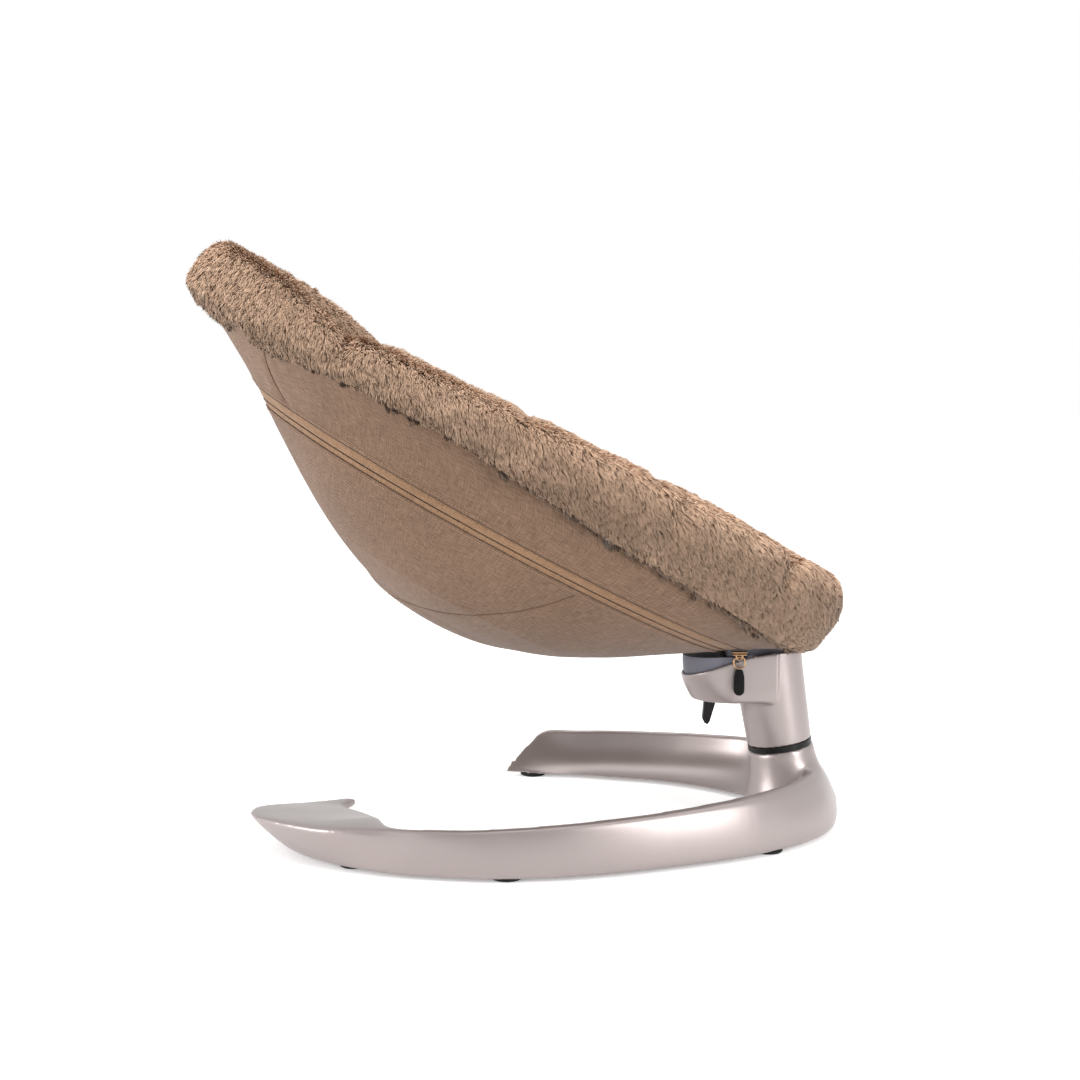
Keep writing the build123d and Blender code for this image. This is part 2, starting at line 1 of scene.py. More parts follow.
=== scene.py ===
import math

import bmesh
import bpy
import numpy as np
from mathutils import Matrix, Vector, kdtree


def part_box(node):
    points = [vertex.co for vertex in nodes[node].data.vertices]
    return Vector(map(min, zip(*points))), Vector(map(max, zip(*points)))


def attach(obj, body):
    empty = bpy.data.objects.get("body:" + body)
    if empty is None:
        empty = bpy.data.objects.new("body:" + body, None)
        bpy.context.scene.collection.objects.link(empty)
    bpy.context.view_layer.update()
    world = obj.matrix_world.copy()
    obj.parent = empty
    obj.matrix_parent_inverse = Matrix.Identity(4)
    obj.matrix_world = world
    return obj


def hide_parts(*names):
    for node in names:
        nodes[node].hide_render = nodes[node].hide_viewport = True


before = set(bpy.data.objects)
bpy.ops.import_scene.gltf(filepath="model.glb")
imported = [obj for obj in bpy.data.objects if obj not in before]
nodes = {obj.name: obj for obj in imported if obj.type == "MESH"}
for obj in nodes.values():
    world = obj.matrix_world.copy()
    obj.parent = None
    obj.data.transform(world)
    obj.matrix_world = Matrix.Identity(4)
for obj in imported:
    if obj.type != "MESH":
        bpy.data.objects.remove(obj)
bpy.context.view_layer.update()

# ---------------------------------------------------------------- sizes, metres, in the frame of the CAD
SLOPE = math.radians(28.67)
SEAT = np.array((-0.2677, 0.0, 0.5329))      # where the seat's own axes start
AXIS_A = np.array((math.cos(SLOPE), 0.0, -math.sin(SLOPE)))
AXIS_Z = np.array((math.sin(SLOPE), 0.0, math.cos(SLOPE)))
HALF_WIDTH = 0.203
DEPTH = 0.199
SQUARENESS = 2.4
ROUNDNESS = 0.5
KEEL = np.array([(0.000, -56, 663), (-14, -52, 661), (-42, -2, 652), (-72, 47, 606), (-104, 90, 556),
                 (-149, 160, 481), (-180, 222, 414), (-194, 262, 366), (-198, 290, 340)]) / 1000.0
RING = Vector((0.268, 0.0, 0.080))
LEAN = math.radians(9.4)
COLUMN = Vector((-math.sin(LEAN), 0, math.cos(LEAN)))


# ---------------------------------------------------------------- small tools
def srgb(r, g, b, a=1.0):
    return tuple(((c / 255 + 0.055) / 1.055) ** 2.4 if c > 10 else c / 255 / 12.92 for c in (r, g, b)) + (a,)


def smooth_table(x, xs, ys):
    """Cubic through a table of increasing xs."""
    xs = np.asarray(xs, float)
    ys = np.asarray(ys, float)
    slope = np.gradient(ys, xs)
    x = np.clip(x, xs[0], xs[-1])
    k = np.clip(np.searchsorted(xs, x) - 1, 0, len(xs) - 2)
    h = xs[k + 1] - xs[k]
    t = (x - xs[k]) / h
    return ((2 * t**3 - 3 * t**2 + 1) * ys[k] + (t**3 - 2 * t**2 + t) * h * slope[k]
            + (3 * t**2 - 2 * t**3) * ys[k + 1] + (t**3 - t**2) * h * slope[k + 1])


def leaf(t, z, inset=0.0):
    """A point of the hull's level outline: t runs 0 to 1 from the foot end round by +Y; inset draws it in."""
    head = smooth_table(z, KEEL[::-1, 0], KEEL[::-1, 1])
    foot = smooth_table(z, KEEL[::-1, 0], KEEL[::-1, 2])
    share = np.clip(np.abs(np.minimum(z, 0)) / DEPTH, 0, 0.999)
    half = HALF_WIDTH * (1 - share**SQUARENESS) ** (1 / SQUARENESS)
    middle = (head + foot) / 2
    length = (foot - head) / 2
    half = np.minimum(half, 0.97 * length)
    tip = ROUNDNESS * half
    side = ((length - tip) ** 2 / (half - tip) + tip + half) / 2
    drop = side - half
    reach = length - tip
    touch = np.arctan2(drop, reach)
    s = np.where(t <= 0.5, 2 * t, 2 - 2 * t)
    part = 0.11
    near_foot = s < part
    near_head = s > 1 - part
    phi = np.where(near_foot, s, 1 - s) / part * touch
    psi = touch + (s - part) / (1 - 2 * part) * (math.pi - 2 * touch)
    a = np.where(near_foot, middle + reach + (tip - inset) * np.cos(phi),
                 np.where(near_head, middle - reach - (tip - inset) * np.cos(phi),
                          middle + (side - inset) * np.cos(psi)))
    y = np.where(near_foot | near_head, (tip - inset) * np.sin(phi), -drop + (side - inset) * np.sin(psi))
    return a, np.where(t <= 0.5, y, -y)


def to_world(a, y, z):
    a, y, z = np.broadcast_arrays(a, y, z)
    return SEAT + a[..., None] * AXIS_A + z[..., None] * AXIS_Z + y[..., None] * np.array((0, 1.0, 0))


def noise(p, size, seed=0):
    """Smooth value noise of points, between -1 and 1."""
    q = np.asarray(p) / size
    cell = np.floor(q).astype(np.int64)
    f = q - cell
    f = f * f * (3 - 2 * f)

    def corner(dx, dy, dz):
        c = cell + (dx, dy, dz)
        h = (c[..., 0] * 73856093) ^ (c[..., 1] * 19349663) ^ (c[..., 2] * 83492791) ^ (seed * 2654435761)
        h = (h ^ (h >> 13)) * 1274126177
        return ((h ^ (h >> 16)) & 0xFFFF) / 32767.5 - 1

    total = 0
    for dx in (0, 1):
        for dy in (0, 1):
            for dz in (0, 1):
                w = ((f[..., 0] if dx else 1 - f[..., 0]) * (f[..., 1] if dy else 1 - f[..., 1])
                     * (f[..., 2] if dz else 1 - f[..., 2]))
                total = total + w * corner(dx, dy, dz)
    return total


def grid_faces(rows, cols, wrap):
    """Quads of a grid whose columns may close on themselves."""
    r = np.arange(rows - 1)[:, None]
    c = np.arange(cols if wrap else cols - 1)[None, :]
    d = (c + 1) % cols
    return np.stack([r * cols + c, r * cols + d, (r + 1) * cols + d, (r + 1) * cols + c], -1).reshape(-1, 4)


def make(name, points, faces, material, body, uv=None, smooth=True):
    """A mesh object from arrays. uv is a pair of arrays per point, in metres of cloth."""
    points = np.asarray(points, np.float32).reshape(-1, 3)
    faces = np.asarray(faces)
    mesh = bpy.data.meshes.new(name)
    mesh.vertices.add(len(points))
    mesh.vertices.foreach_set("co", points.ravel())
    size = faces.shape[1]
    mesh.loops.add(faces.size)
    mesh.loops.foreach_set("vertex_index", faces.ravel().astype(np.int32))
    mesh.polygons.add(len(faces))
    mesh.polygons.foreach_set("loop_start", (np.arange(len(faces)) * size).astype(np.int32))
    mesh.polygons.foreach_set("use_smooth", np.full(len(faces), smooth))
    mesh.update(calc_edges=True)
    if uv is not None:
        layer = mesh.uv_layers.new(name="cloth")
        flat = np.stack([np.asarray(u, np.float32).ravel() for u in uv], -1)
        layer.data.foreach_set("uv", flat[faces.ravel()].ravel())
    mesh.validate()
    obj = bpy.data.objects.new(name, mesh)
    bpy.context.scene.collection.objects.link(obj)
    if material:
        mesh.materials.append(material)
    if body:
        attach(obj, body)
    return obj


def grid_normals(p):
    du = np.roll(p, -1, 1) - np.roll(p, 1, 1)
    dv = np.gradient(p, axis=0)
    n = np.cross(du, dv)
    return n / np.maximum(np.linalg.norm(n, axis=-1, keepdims=True), 1e-9)


def apply(obj):
    """Turns the object's modifiers into its mesh."""
    bpy.context.view_layer.update()
    mesh = bpy.data.meshes.new_from_object(obj.evaluated_get(bpy.context.evaluated_depsgraph_get()))
    obj.modifiers.clear()
    obj.data = mesh


def lathe(profile, centre, axis, turns=64):
    """Points and faces of a turned shape: profile is (radius, lift) from bottom to top."""
    axis = Vector(axis).normalized()
    u = axis.orthogonal().normalized()
    v = axis.cross(u)
    angle = np.linspace(0, 2 * math.pi, turns, endpoint=False)
    rim = np.cos(angle)[:, None] * np.array(u) + np.sin(angle)[:, None] * np.array(v)
    rows = [np.array(centre) + r * rim + h * np.array(axis) for r, h in profile]
    return np.array(rows), grid_faces(len(rows), turns, True)


def catmull(points, steps):
    pts = np.vstack([2 * points[0] - points[1], points, 2 * points[-1] - points[-2]])
    out = []
    for k in range(1, len(pts) - 2):
        p0, p1, p2, p3 = pts[k - 1:k + 3]
        for s in np.linspace(0, 1, steps, endpoint=False):
            out.append(0.5 * (2 * p1 + (p2 - p0) * s + (2 * p0 - 5 * p1 + 4 * p2 - p3) * s**2
                              + (3 * p1 - p0 - 3 * p2 + p3) * s**3))
    return np.array(out + [points[-1]])


def tube(points, radius, sides=12, closed=False):
    """A bent wire through points."""
    points = np.array(points, float)
    ahead = np.roll(points, -1, 0) - np.roll(points, 1, 0) if closed else np.gradient(points, axis=0)
    ahead /= np.linalg.norm(ahead, axis=1, keepdims=True)
    ref = np.array((0.31, 0.95, 0.05))
    u = np.cross(ahead, ref)
    u /= np.linalg.norm(u, axis=1, keepdims=True)
    v = np.cross(ahead, u)
    angle = np.linspace(0, 2 * math.pi, sides, endpoint=False)
    ring = points[:, None] + radius * (np.cos(angle)[None, :, None] * u[:, None]
                                       + np.sin(angle)[None, :, None] * v[:, None])
    faces = grid_faces(len(points), sides, True)
    if closed:
        c = np.arange(sides)
        d = (c + 1) % sides
        last = (len(points) - 1) * sides
        faces = np.vstack([faces, np.stack([last + c, last + d, d, c], -1)])
    return ring, faces


# ---------------------------------------------------------------- materials
class Nodes:
    """A short way to write a node material."""

    def __init__(self, name, base, rough, **sockets):
        self.mat = bpy.data.materials.new(name)
        self.mat.use_nodes = True
        self.tree = self.mat.node_tree
        self.shader = self.tree.nodes["Principled BSDF"]
        self.shader.inputs["Base Color"].default_value = base
        self.shader.inputs["Roughness"].default_value = rough
        for key, value in sockets.items():
            self.shader.inputs[key.replace("_", " ")].default_value = value
        self.heights = None

    def add(self, kind, links=None, **values):
        node = self.tree.nodes.new(kind)
        for key, value in values.items():
            if key in node.inputs:
                node.inputs[key].default_value = value
            else:
                setattr(node, key, value)
        for key, source in (links or {}).items():
            self.tree.links.new(source, node.inputs[key])
        return node

    def place(self, scale=(1, 1, 1), uv=False):
        if uv:
            source = self.add("ShaderNodeUVMap", uv_map="cloth").outputs[0]
        else:
            source = self.add("ShaderNodeTexCoord").outputs["Object"]
        return self.add("ShaderNodeMapping", {"Vector": source}, Scale=scale).outputs[0]

    def noise(self, scale, detail=2.0, stretch=(1, 1, 1), uv=False, rough=0.5):
        return self.add("ShaderNodeTexNoise", {"Vector": self.place(stretch, uv)}, Scale=scale, Detail=detail,
                        Roughness=rough).outputs[0]

    def wave(self, scale, direction, uv=True, distortion=0.0):
        return self.add("ShaderNodeTexWave", {"Vector": self.place((1, 1, 1), uv)}, Scale=scale,
                        Distortion=distortion,
                        bands_direction=direction).outputs[1]

    def ramp(self, source, stops):
        node = self.add("ShaderNodeValToRGB", {"Fac": source})
        elements = node.color_ramp.elements
        elements[0].position, elements[0].color = stops[0]
        elements[1].position, elements[1].color = stops[-1]
        for position, color in stops[1:-1]:
            elements.new(position).color = color
        return node.outputs[0]

    def mix(self, factor, a, b, blend="MIX"):
        node = self.tree.nodes.new("ShaderNodeMix")
        node.data_type = "RGBA"
        node.blend_type = blend
        for socket, value in ((node.inputs[0], factor), (node.inputs[6], a), (node.inputs[7], b)):
            if hasattr(value, "is_linked"):
                self.tree.links.new(value, socket)
            else:
                socket.default_value = value
        return node.outputs[2]

    def math(self, operation, a, b):
        node = self.tree.nodes.new("ShaderNodeMath")
        node.operation = operation
        for socket, value in zip(node.inputs, (a, b)):
            if hasattr(value, "is_linked"):
                self.tree.links.new(value, socket)
            else:
                socket.default_value = value
        return node.outputs[0]

    def color(self, source):
        self.tree.links.new(source, self.shader.inputs["Base Color"])

    def roughness(self, source, low, high):
        out = self.add("ShaderNodeMapRange", {"Value": source})
        out.inputs["To Min"].default_value = low
        out.inputs["To Max"].default_value = high
        self.tree.links.new(out.outputs[0], self.shader.inputs["Roughness"])

    def bump(self, source, strength, distance):
        node = self.add("ShaderNodeBump", {"Height": source}, Strength=strength, Distance=distance)
        if self.heights:
            self.tree.links.new(self.heights, node.inputs["Normal"])
        self.heights = node.outputs[0]
        self.tree.links.new(self.heights, self.shader.inputs["Normal"])


def fabric(name, light, mid, dark, pitch=0.0011, strength=0.30):
    """Melange plain weave: crossing threads, each with its own streaks of colour."""
    m = Nodes(name, mid, 0.9, Sheen_Weight=0.12, Sheen_Roughness=0.5, Specular_IOR_Level=0.15)
    warp = m.noise(1.0, 2.0, (900, 90, 1), True)
    weft = m.noise(1.0, 2.0, (90, 900, 1), True)
    streaks = m.math("ADD", m.math("MULTIPLY", warp, 0.5), m.math("MULTIPLY", weft, 0.5))
    color = m.ramp(streaks, [(0.30, dark), (0.49, mid), (0.68, light)])
    cloud = m.noise(14.0, 3.0)
    shade = m.ramp(cloud, [(0.3, (0.86, 0.86, 0.86, 1)), (0.7, (1, 1, 1, 1))])
    m.color(m.mix(1.0, color, shade, "MULTIPLY"))
    threads = m.math("ADD", m.wave(1 / pitch / 6.283, "X"), m.wave(1 / pitch / 6.283, "Y"))
    m.bump(threads, strength, 0.0004)
    m.bump(m.noise(60.0, 3.0), 0.25, 0.002)
    return m.mat


def painted(name, color, rough=0.36, metal=0.55, fleck=0.06):
    """Satin metallic paint: fine flakes and a slightly uneven coat."""
    m = Nodes(name, color, rough, Metallic=metal, Coat_Weight=0.15, Coat_Roughness=0.3)
    flakes = m.noise(2600.0, 1.0)
    tone = m.ramp(flakes, [(0.3, (1 - fleck,) * 3 + (1,)), (0.7, (1, 1, 1, 1))])
    broad = m.ramp(m.noise(9.0, 2.0), [(0.3, (0.965, 0.96, 0.96, 1)), (0.7, (1, 1, 1, 1))])
    m.color(m.mix(1.0, m.mix(1.0, color, tone, "MULTIPLY"), broad, "MULTIPLY"))
    m.roughness(m.noise(35.0, 3.0), rough - 0.04, rough + 0.06)
    m.bump(m.noise(900.0, 2.0), 0.05, 0.0003)
    return m.mat


def plastic(name, color, rough=0.55, grain=1500.0, strength=0.18):
    """Moulded plastic with a fine spark-eroded grain."""
    m = Nodes(name, color, rough, Specular_IOR_Level=0.22)
    tone = m.ramp(m.noise(40.0, 3.0), [(0.3, (0.88, 0.88, 0.88, 1)), (0.7, (1.06, 1.06, 1.06, 1))])
    m.color(m.mix(1.0, color, tone, "MULTIPLY"))
    m.roughness(m.noise(300.0, 2.0), rough - 0.06, rough + 0.08)
    m.bump(m.noise(grain, 2.0), strength, 0.0004)
    return m.mat


def metal(name, color, rough=0.3, brushed=(1, 60, 60)):
    """Bare metal with a drawn or turned finish."""
    m = Nodes(name, color, rough, Metallic=1.0)
    lines = m.noise(60.0, 3.0, brushed)
    tone = m.ramp(lines, [(0.3, (0.84, 0.84, 0.84, 1)), (0.7, (1, 1, 1, 1))])
    m.color(m.mix(1.0, color, tone, "MULTIPLY"))
    m.roughness(lines, rough - 0.06, rough + 0.14)
    m.bump(lines, 0.12, 0.0002)
    return m.mat


def leather(name, color):
    m = Nodes(name, color, 0.6, Specular_IOR_Level=0.15)
    cells = m.add("ShaderNodeTexVoronoi", {"Vector": m.place((900, 900, 900))}, Scale=1.0).outputs["Distance"]
    tone = m.ramp(cells, [(0.0, (0.7, 0.7, 0.7, 1)), (0.6, (1.15, 1.15, 1.15, 1))])
    m.color(m.mix(1.0, color, tone, "MULTIPLY"))
    m.bump(cells, 0.5, 0.0005)
    return m.mat


def rubber(name, color):
    m = Nodes(name, color, 0.75, Specular_IOR_Level=0.2)
    tone = m.ramp(m.noise(120.0, 4.0), [(0.3, (0.8, 0.8, 0.8, 1)), (0.7, (1.3, 1.3, 1.3, 1))])
    m.color(m.mix(1.0, color, tone, "MULTIPLY"))
    m.bump(m.noise(700.0, 3.0), 0.3, 0.0005)
    return m.mat


def plush(name, base):
    """Pile: dark at the roots, paler at the tips; the dark roots are painted shade. The colour layer holds each
    fibre's own tone, with painted light on fibres of upward-facing skin.
    """
    m = Nodes(name, base, 0.85, Sheen_Weight=0.15, Sheen_Roughness=0.4, Specular_IOR_Level=0.2)
    strand_tone_and_painted_light = m.add("ShaderNodeAttribute", attribute_name="pile").outputs["Color"]
    patches = m.ramp(m.noise(22.0, 3.0), [(0.3, (0.90, 0.88, 0.86, 1)), (0.7, (1.05, 1.05, 1.05, 1))])
    m.color(m.mix(1.0, strand_tone_and_painted_light, patches, "MULTIPLY"))
    m.bump(m.noise(900.0, 2.0), 0.3, 0.0006)
    return m.mat


CLOTH = fabric("melange_cloth", srgb(122, 98, 82), srgb(105, 83, 67), srgb(85, 64, 50))
TAPE = fabric("zip_tape_twill", srgb(136, 108, 84), srgb(124, 96, 73), srgb(106, 80, 60), 0.0007, 0.2)
LINING = fabric("sleeve_cloth", srgb(170, 150, 132), srgb(150, 130, 112), srgb(120, 100, 85))
THREAD = fabric("sewing_thread", srgb(150, 120, 98), srgb(132, 104, 84), srgb(112, 86, 68), 0.0004)
# dark brown for the thin lines along the seams and round the hem: painted shadow of their creases
PAINTED_SEAM_SHADOW = fabric("seam_shadow_thread", srgb(96, 72, 56), srgb(84, 62, 47), srgb(70, 50, 38), 0.0004)
PAINT = painted("champagne_paint", srgb(154, 144, 142), 0.36, 0.62)
BLOCK = plastic("blue_grey_plastic", srgb(104, 103, 112), 0.5)
BLACK = plastic("black_plastic", srgb(26, 23, 25), 0.42)
RINGMAT = plastic("black_ring_plastic", srgb(10, 8, 8), 0.3)
BUSH = plastic("bush_plastic", srgb(225, 222, 212), 0.4)
STEEL = metal("zinc_steel", srgb(176, 176, 178), 0.32)
ALU = metal("hoop_aluminium", srgb(205, 205, 208), 0.35)
BRONZE = metal("bronze_metal", srgb(172, 138, 104), 0.28)
TEETH = plastic("zip_tooth_plastic", srgb(62, 44, 32), 0.4)
HIDE = leather("black_leather", srgb(8, 6, 6))
RUBBER = rubber("black_rubber", srgb(26, 25, 26))
FUR = plush("plush_fur", srgb(176, 155, 134))
FELT = fabric("plush_backing", srgb(172, 141, 115), srgb(152, 122, 97), srgb(128, 100, 77), 0.0015)

for name, material in {
    "hub_block": BLOCK, "notch_plate": STEEL, "notch_plate_rivets": STEEL, "recline_bushes": BUSH,
    "recline_axle": STEEL,
    "recline_axle_cap": BLOCK, "thrust_washers": BLOCK, "stop_pin": STEEL, "lever_pin": STEEL,
    "recline_lever": BLACK, "lock_pawl": STEEL,
    "pawl_spring": STEEL, "column_shaft": STEEL, "shaft_nut": STEEL, "shaft_washer": STEEL,
    "bearing_ring": RINGMAT,
    "upper_bush": BUSH, "lower_bush": BUSH, "shaft_cover": BLACK, "rim_hoop": ALU, "hoop_sleeve": LINING,
    "seat_fork": STEEL, "fork_screws": STEEL, "hoop_bolts": STEEL, "rubber_foot_1": RUBBER,
    "rubber_foot_2": RUBBER,
    "rubber_foot_3": RUBBER, "rubber_foot_4": RUBBER, "rubber_foot_5": RUBBER, "rubber_foot_6": RUBBER,
    "column_housing": PAINT, "base_ribbon": PAINT,
}.items():
    nodes[name].data.materials.clear()
    nodes[name].data.materials.append(material)


# ---------------------------------------------------------------- fabric shell
def gauss(x, width):
    return np.exp(-((x / width) ** 2))


def curve_gap(a, z, line):
    """How far points lie from an open line in the a-z plane, in metres."""
    line = np.asarray(line, float)
    best = np.full(np.broadcast(a, z).shape, 1.0)
    for (a0, z0), (a1, z1) in zip(line, line[1:]):
        d = np.array((a1 - a0, z1 - z0))
        k = np.clip(((a - a0) * d[0] + (z - z0) * d[1]) / (d @ d), 0, 1)
        best = np.minimum(best, np.hypot(a - a0 - k * d[0], z - z0 - k * d[1]))
    return best


PANEL_SEAM = [(0.052, -0.020), (0.060, -0.042), (0.084, -0.062), (0.104, -0.0715)]
BELLY_SEAM = [(0.262, -0.190), (0.300, -0.178), (0.334, -0.161), (0.372, -0.134), (0.400, -0.108),
              (0.417, -0.0875)]
ZIP_TOP, MEET, ZIP_LOW = -0.0714, -0.0796, -0.0852


def shell_points(t, z, grow=0.0):
    """The fabric's outer skin in the row frame, with its seams sewn in."""
    a, y = leaf(t, z, -grow)
    p = to_world(a, y, z)
    dip = (0.0012 * gauss(curve_gap(a, z, PANEL_SEAM), 0.0016)
           + 0.0010 * gauss(curve_gap(a, z, BELLY_SEAM), 0.0018))
    puff = 0.0010 * gauss(curve_gap(a, z, PANEL_SEAM) - 0.006, 0.004)
    wrinkle = 0.0011 * noise(p, 0.055, 3) + 0.0004 * noise(p, 0.018, 4)
    a, y = leaf(t, z, -grow + dip - puff - wrinkle)
    return to_world(a, y, z)


def strip(name, heights, grow, material, stands_for, columns=900):
    """A closed strip of cloth round the hull between given heights."""
    t = np.linspace(0, 1, columns, endpoint=False)[None, :]
    z = np.asarray(heights)[:, None]
    grow = np.asarray(grow)[:, None] * np.ones_like(t)
    p = np.array([shell_points(t[0], np.full(columns, h), g) for h, g in zip(z[:, 0], grow)])
    u = np.tile(np.linspace(0, 1.76, columns), (len(heights), 1))
    v = np.repeat(z, columns, 1)
    obj = make(name, p, grid_faces(len(heights), columns, True)[:, ::-1], material, "seat", (u, v))
    solid = obj.modifiers.new("wall", "SOLIDIFY")
    solid.thickness = 0.0014
    solid.offset = -1
    apply(obj)
    if stands_for:
        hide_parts(*stands_for)
    return obj


# upper wall: its lower edge is folded under and topstitched beside the zip
upper = np.concatenate([np.linspace(-0.004, ZIP_TOP + 0.006, 34),
                        ZIP_TOP + np.array([0.004, 0.0025, 0.001, 0.0002, 0.0])])
grow = np.concatenate([np.full(34, 0.0), [0.0006, 0.0008, 0.0009, 0.0006, -0.0008]])
strip("rim_wall_cloth", upper, grow, CLOTH, ["rim_band"])
lower = np.concatenate([ZIP_LOW + np.array([0.0, -0.0002, -0.001, -0.0025, -0.004]),
                        np.linspace(ZIP_LOW - 0.006, -0.186, 60),
                        -0.186 - 0.0129 * (1 - np.linspace(1, 0, 14)[1:] ** 2)])
grow = np.concatenate([[-0.0008, 0.0006, 0.0009, 0.0008, 0.0006], np.zeros(73)])
strip("seat_pouch_cloth", lower, grow, CLOTH, ["seat_pouch"], 560)
lip = np.array([0.0, 0.0002, 0.0006, 0.0014])
strip("zip_tape_above", [ZIP_TOP + 0.002, ZIP_TOP - 0.0008, -0.0750, *(MEET + 0.0003 + lip[::-1])],
      [-0.0022, -0.0010, -0.0006, -0.0004, -0.0004, -0.0008, -0.0018], TAPE, ["zip_tape_upper"])
strip("zip_tape_below", [*(MEET - 0.0003 - lip), -0.0830, ZIP_LOW + 0.0008, ZIP_LOW - 0.002],
      [-0.0018, -0.0008, -0.0003, -0.0002, -0.0004, -0.0008, -0.0022], TAPE, ["zip_tape_lower"])


def chain(name, z, pitch, size, material, lift, stands_for=None, body="seat", start=0.0):
    """Small rounded blocks all the way round the hull at one height: zip teeth or stitches."""
    t = np.linspace(0, 1, 4000, endpoint=False)
    p = shell_points(t, np.full(4000, z), lift)
    step = np.linalg.norm(np.roll(p, -1, 0) - p, axis=1)
    length = np.concatenate([[0], np.cumsum(step)])
    count = int(length[-1] / pitch)
    spots = (np.arange(count) + start) * length[-1] / count
    tt = np.interp(spots, length, np.append(t, 1.0)) % 1.0
    here = shell_points(tt, np.full(count, z), lift)
    ahead = shell_points((tt + 0.0005) % 1.0, np.full(count, z), lift) - here
    ahead /= np.linalg.norm(ahead, axis=1, keepdims=True)
    out = shell_points(tt, np.full(count, z), lift + 0.001) - here
    out /= np.linalg.norm(out, axis=1, keepdims=True)
    up = np.cross(out, ahead)
    corners = np.array([(x, y, k) for k in (0, 0.75, 1) for x, y in ((-1, -1), (1, -1), (1, 1), (-1, 1))],
                       float)
    corners[8:, :2] *= 0.7
    pts = (here[:, None] + corners[None, :, 0:1] * ahead[:, None] * size[0] / 2
           + corners[None, :, 1:2] * up[:, None] * size[1] / 2
           + (corners[None, :, 2:3] - 0.35) * out[:, None] * size[2])
    quads = []
    for layer in (0, 4):
        for k in range(4):
            quads.append((layer + k, layer + (k + 1) % 4, layer + 4 + (k + 1) % 4, layer + 4 + k))
    quads.append((8, 9, 10, 11))
    quads.append((3, 2, 1, 0))
    faces = (np.array(quads)[None] + np.arange(count)[:, None, None] * 12).reshape(-1, 4)
    obj = make(name, pts, faces, material, body, smooth=False)
    if stands_for:
        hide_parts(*stands_for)
    return obj


chain("zip_teeth_row", MEET, 0.0020, (0.0012, 0.0034, 0.0014), TEETH, -0.0026, ["zip_teeth"])


def seam_shadow_line(name, line, side):
    """A dark line over the shell along a seam, painted shadow in its crease, from points (along, height) of the
    hull's side.
    """
    line = catmull(np.array(line), 12)
    spots = []
    t = np.linspace(0.001, 0.499, 600)
    for a, z in line:
        along, _ = leaf(t, np.full(600, z))
        spots.append(np.interp(-a, -along, t))
    spots = np.array(spots)
    p = shell_points(spots if side > 0 else 1 - spots, line[:, 1], 0.0001)
    points, faces = tube(p, 0.00055, 6)
    make(name, points, faces, PAINTED_SEAM_SHADOW, "seat")


for side, word in ((-1, "near"), (1, "far")):
    seam_shadow_line("panel_seam_shadow_" + word, PANEL_SEAM, side)
    seam_shadow_line("belly_seam_shadow_" + word, BELLY_SEAM, side)
chain("topstitch_above", ZIP_TOP + 0.0026, 0.0036, (0.0027, 0.0007, 0.0006), THREAD, 0.0009)
chain("topstitch_below", ZIP_LOW - 0.0026, 0.0036, (0.0027, 0.0007, 0.0006), THREAD, 0.0009)
# a thin dark tube round the top edge of the upper tape: painted shadow under the folded hem of the wall
turn = np.linspace(0, 1, 900, endpoint=False)
points, faces = tube(shell_points(turn, np.full(900, ZIP_TOP - 0.0004), -0.0004), 0.00055, 6, True)
make("hem_painted_shadow", points, faces, PAINTED_SEAM_SHADOW, "seat")

# ---------------------------------------------------------------- fur insert
COLUMNS = 720
t_row = np.linspace(0, 1, COLUMNS, endpoint=False)
# height and inset of the liner's skin, from its tucked lower edge over the rim into the nest
PROFILE = np.array([(-36, 1.5), (-41, -1.5), (-42, -4), (-34, -5), (-20, -5.5), (-6, -5), (6, -3.5),
                    (16, 0.5), (23, 7), (26, 16),
                    (25.5, 26), (21, 36), (12, 44), (-2, 50), (-22, 53), (-42, 54), (-72, 51), (-104, 45),
                    (-128, 41),
                    (-140, 44), (-147, 54), (-149, 70)]) / 1000.0


profile = catmull(PROFILE, 4)
HEAD_END = float(np.min(leaf(t_row, np.zeros(COLUMNS))[0]))


def fur_skin(t, z, inset):
    """The liner's skin: the lower edge follows the rim, the top rises to the foot, creases divide it."""
    a, y = leaf(t, np.minimum(z, 0), inset)
    side = np.abs(y) / HALF_WIDTH
    edge = np.clip((-z) / 0.042, 0, 1) * (inset < 0.03)
    head = gauss(a - HEAD_END, 0.045)
    lift_edge = (0.011 * side**2 + 0.014 * gauss(a + 0.03, 0.06) + 0.016 * head
                 + 0.018 * gauss(a - 0.22, 0.19) + 0.014 * gauss(a - 0.052, 0.012) - 0.004 * gauss(a - 0.62, 0.06))
    top = np.clip((z + 0.01) / 0.03, 0, 1) * (z > -0.01)
    rise = smooth_table(a, [-0.07, -0.03, 0.05, 0.11, 0.17, 0.25, 0.35, 0.48, 0.58, 0.66, 0.70],
                        [0.003, 0.007, 0.004, -0.008, -0.006, -0.003, 0.003, 0.008, 0.008, 0.004, 0.0])
    crease = 0.0
    for at, depth in ((0.085, 0.006), (0.255, 0.004), (0.420, 0.005), (0.560, 0.006)):
        crease = crease + depth * gauss(a - at - 0.05 * side, 0.012)
    crease = crease + 0.005 * gauss(y, 0.012) * ((a > 0.6) | (a < 0.0))
    z2 = z + edge * lift_edge + top * (rise - crease)
    a2, y2 = leaf(t, np.minimum(z2, 0), inset + crease * 0.6 * (1 - edge) + 0.003 * head * (inset < 0.012))
    return to_world(a2, y2, z2)


rows = []
for z, inset in profile:
    rows.append(fur_skin(t_row, np.full(COLUMNS, z), np.full(COLUMNS, inset)))
skin = np.array(rows)
normals = -grid_normals(skin)
if np.mean(normals[12, :, 1] * skin[12, :, 1]) < 0:
    normals = -normals
skin = skin + normals * (0.0016 * noise(skin, 0.030, 9) + 0.0010 * noise(skin, 0.012, 10))[..., None]
normals = -grid_normals(skin)
if np.mean(normals[12, :, 1] * skin[12, :, 1]) < 0:
    normals = -normals

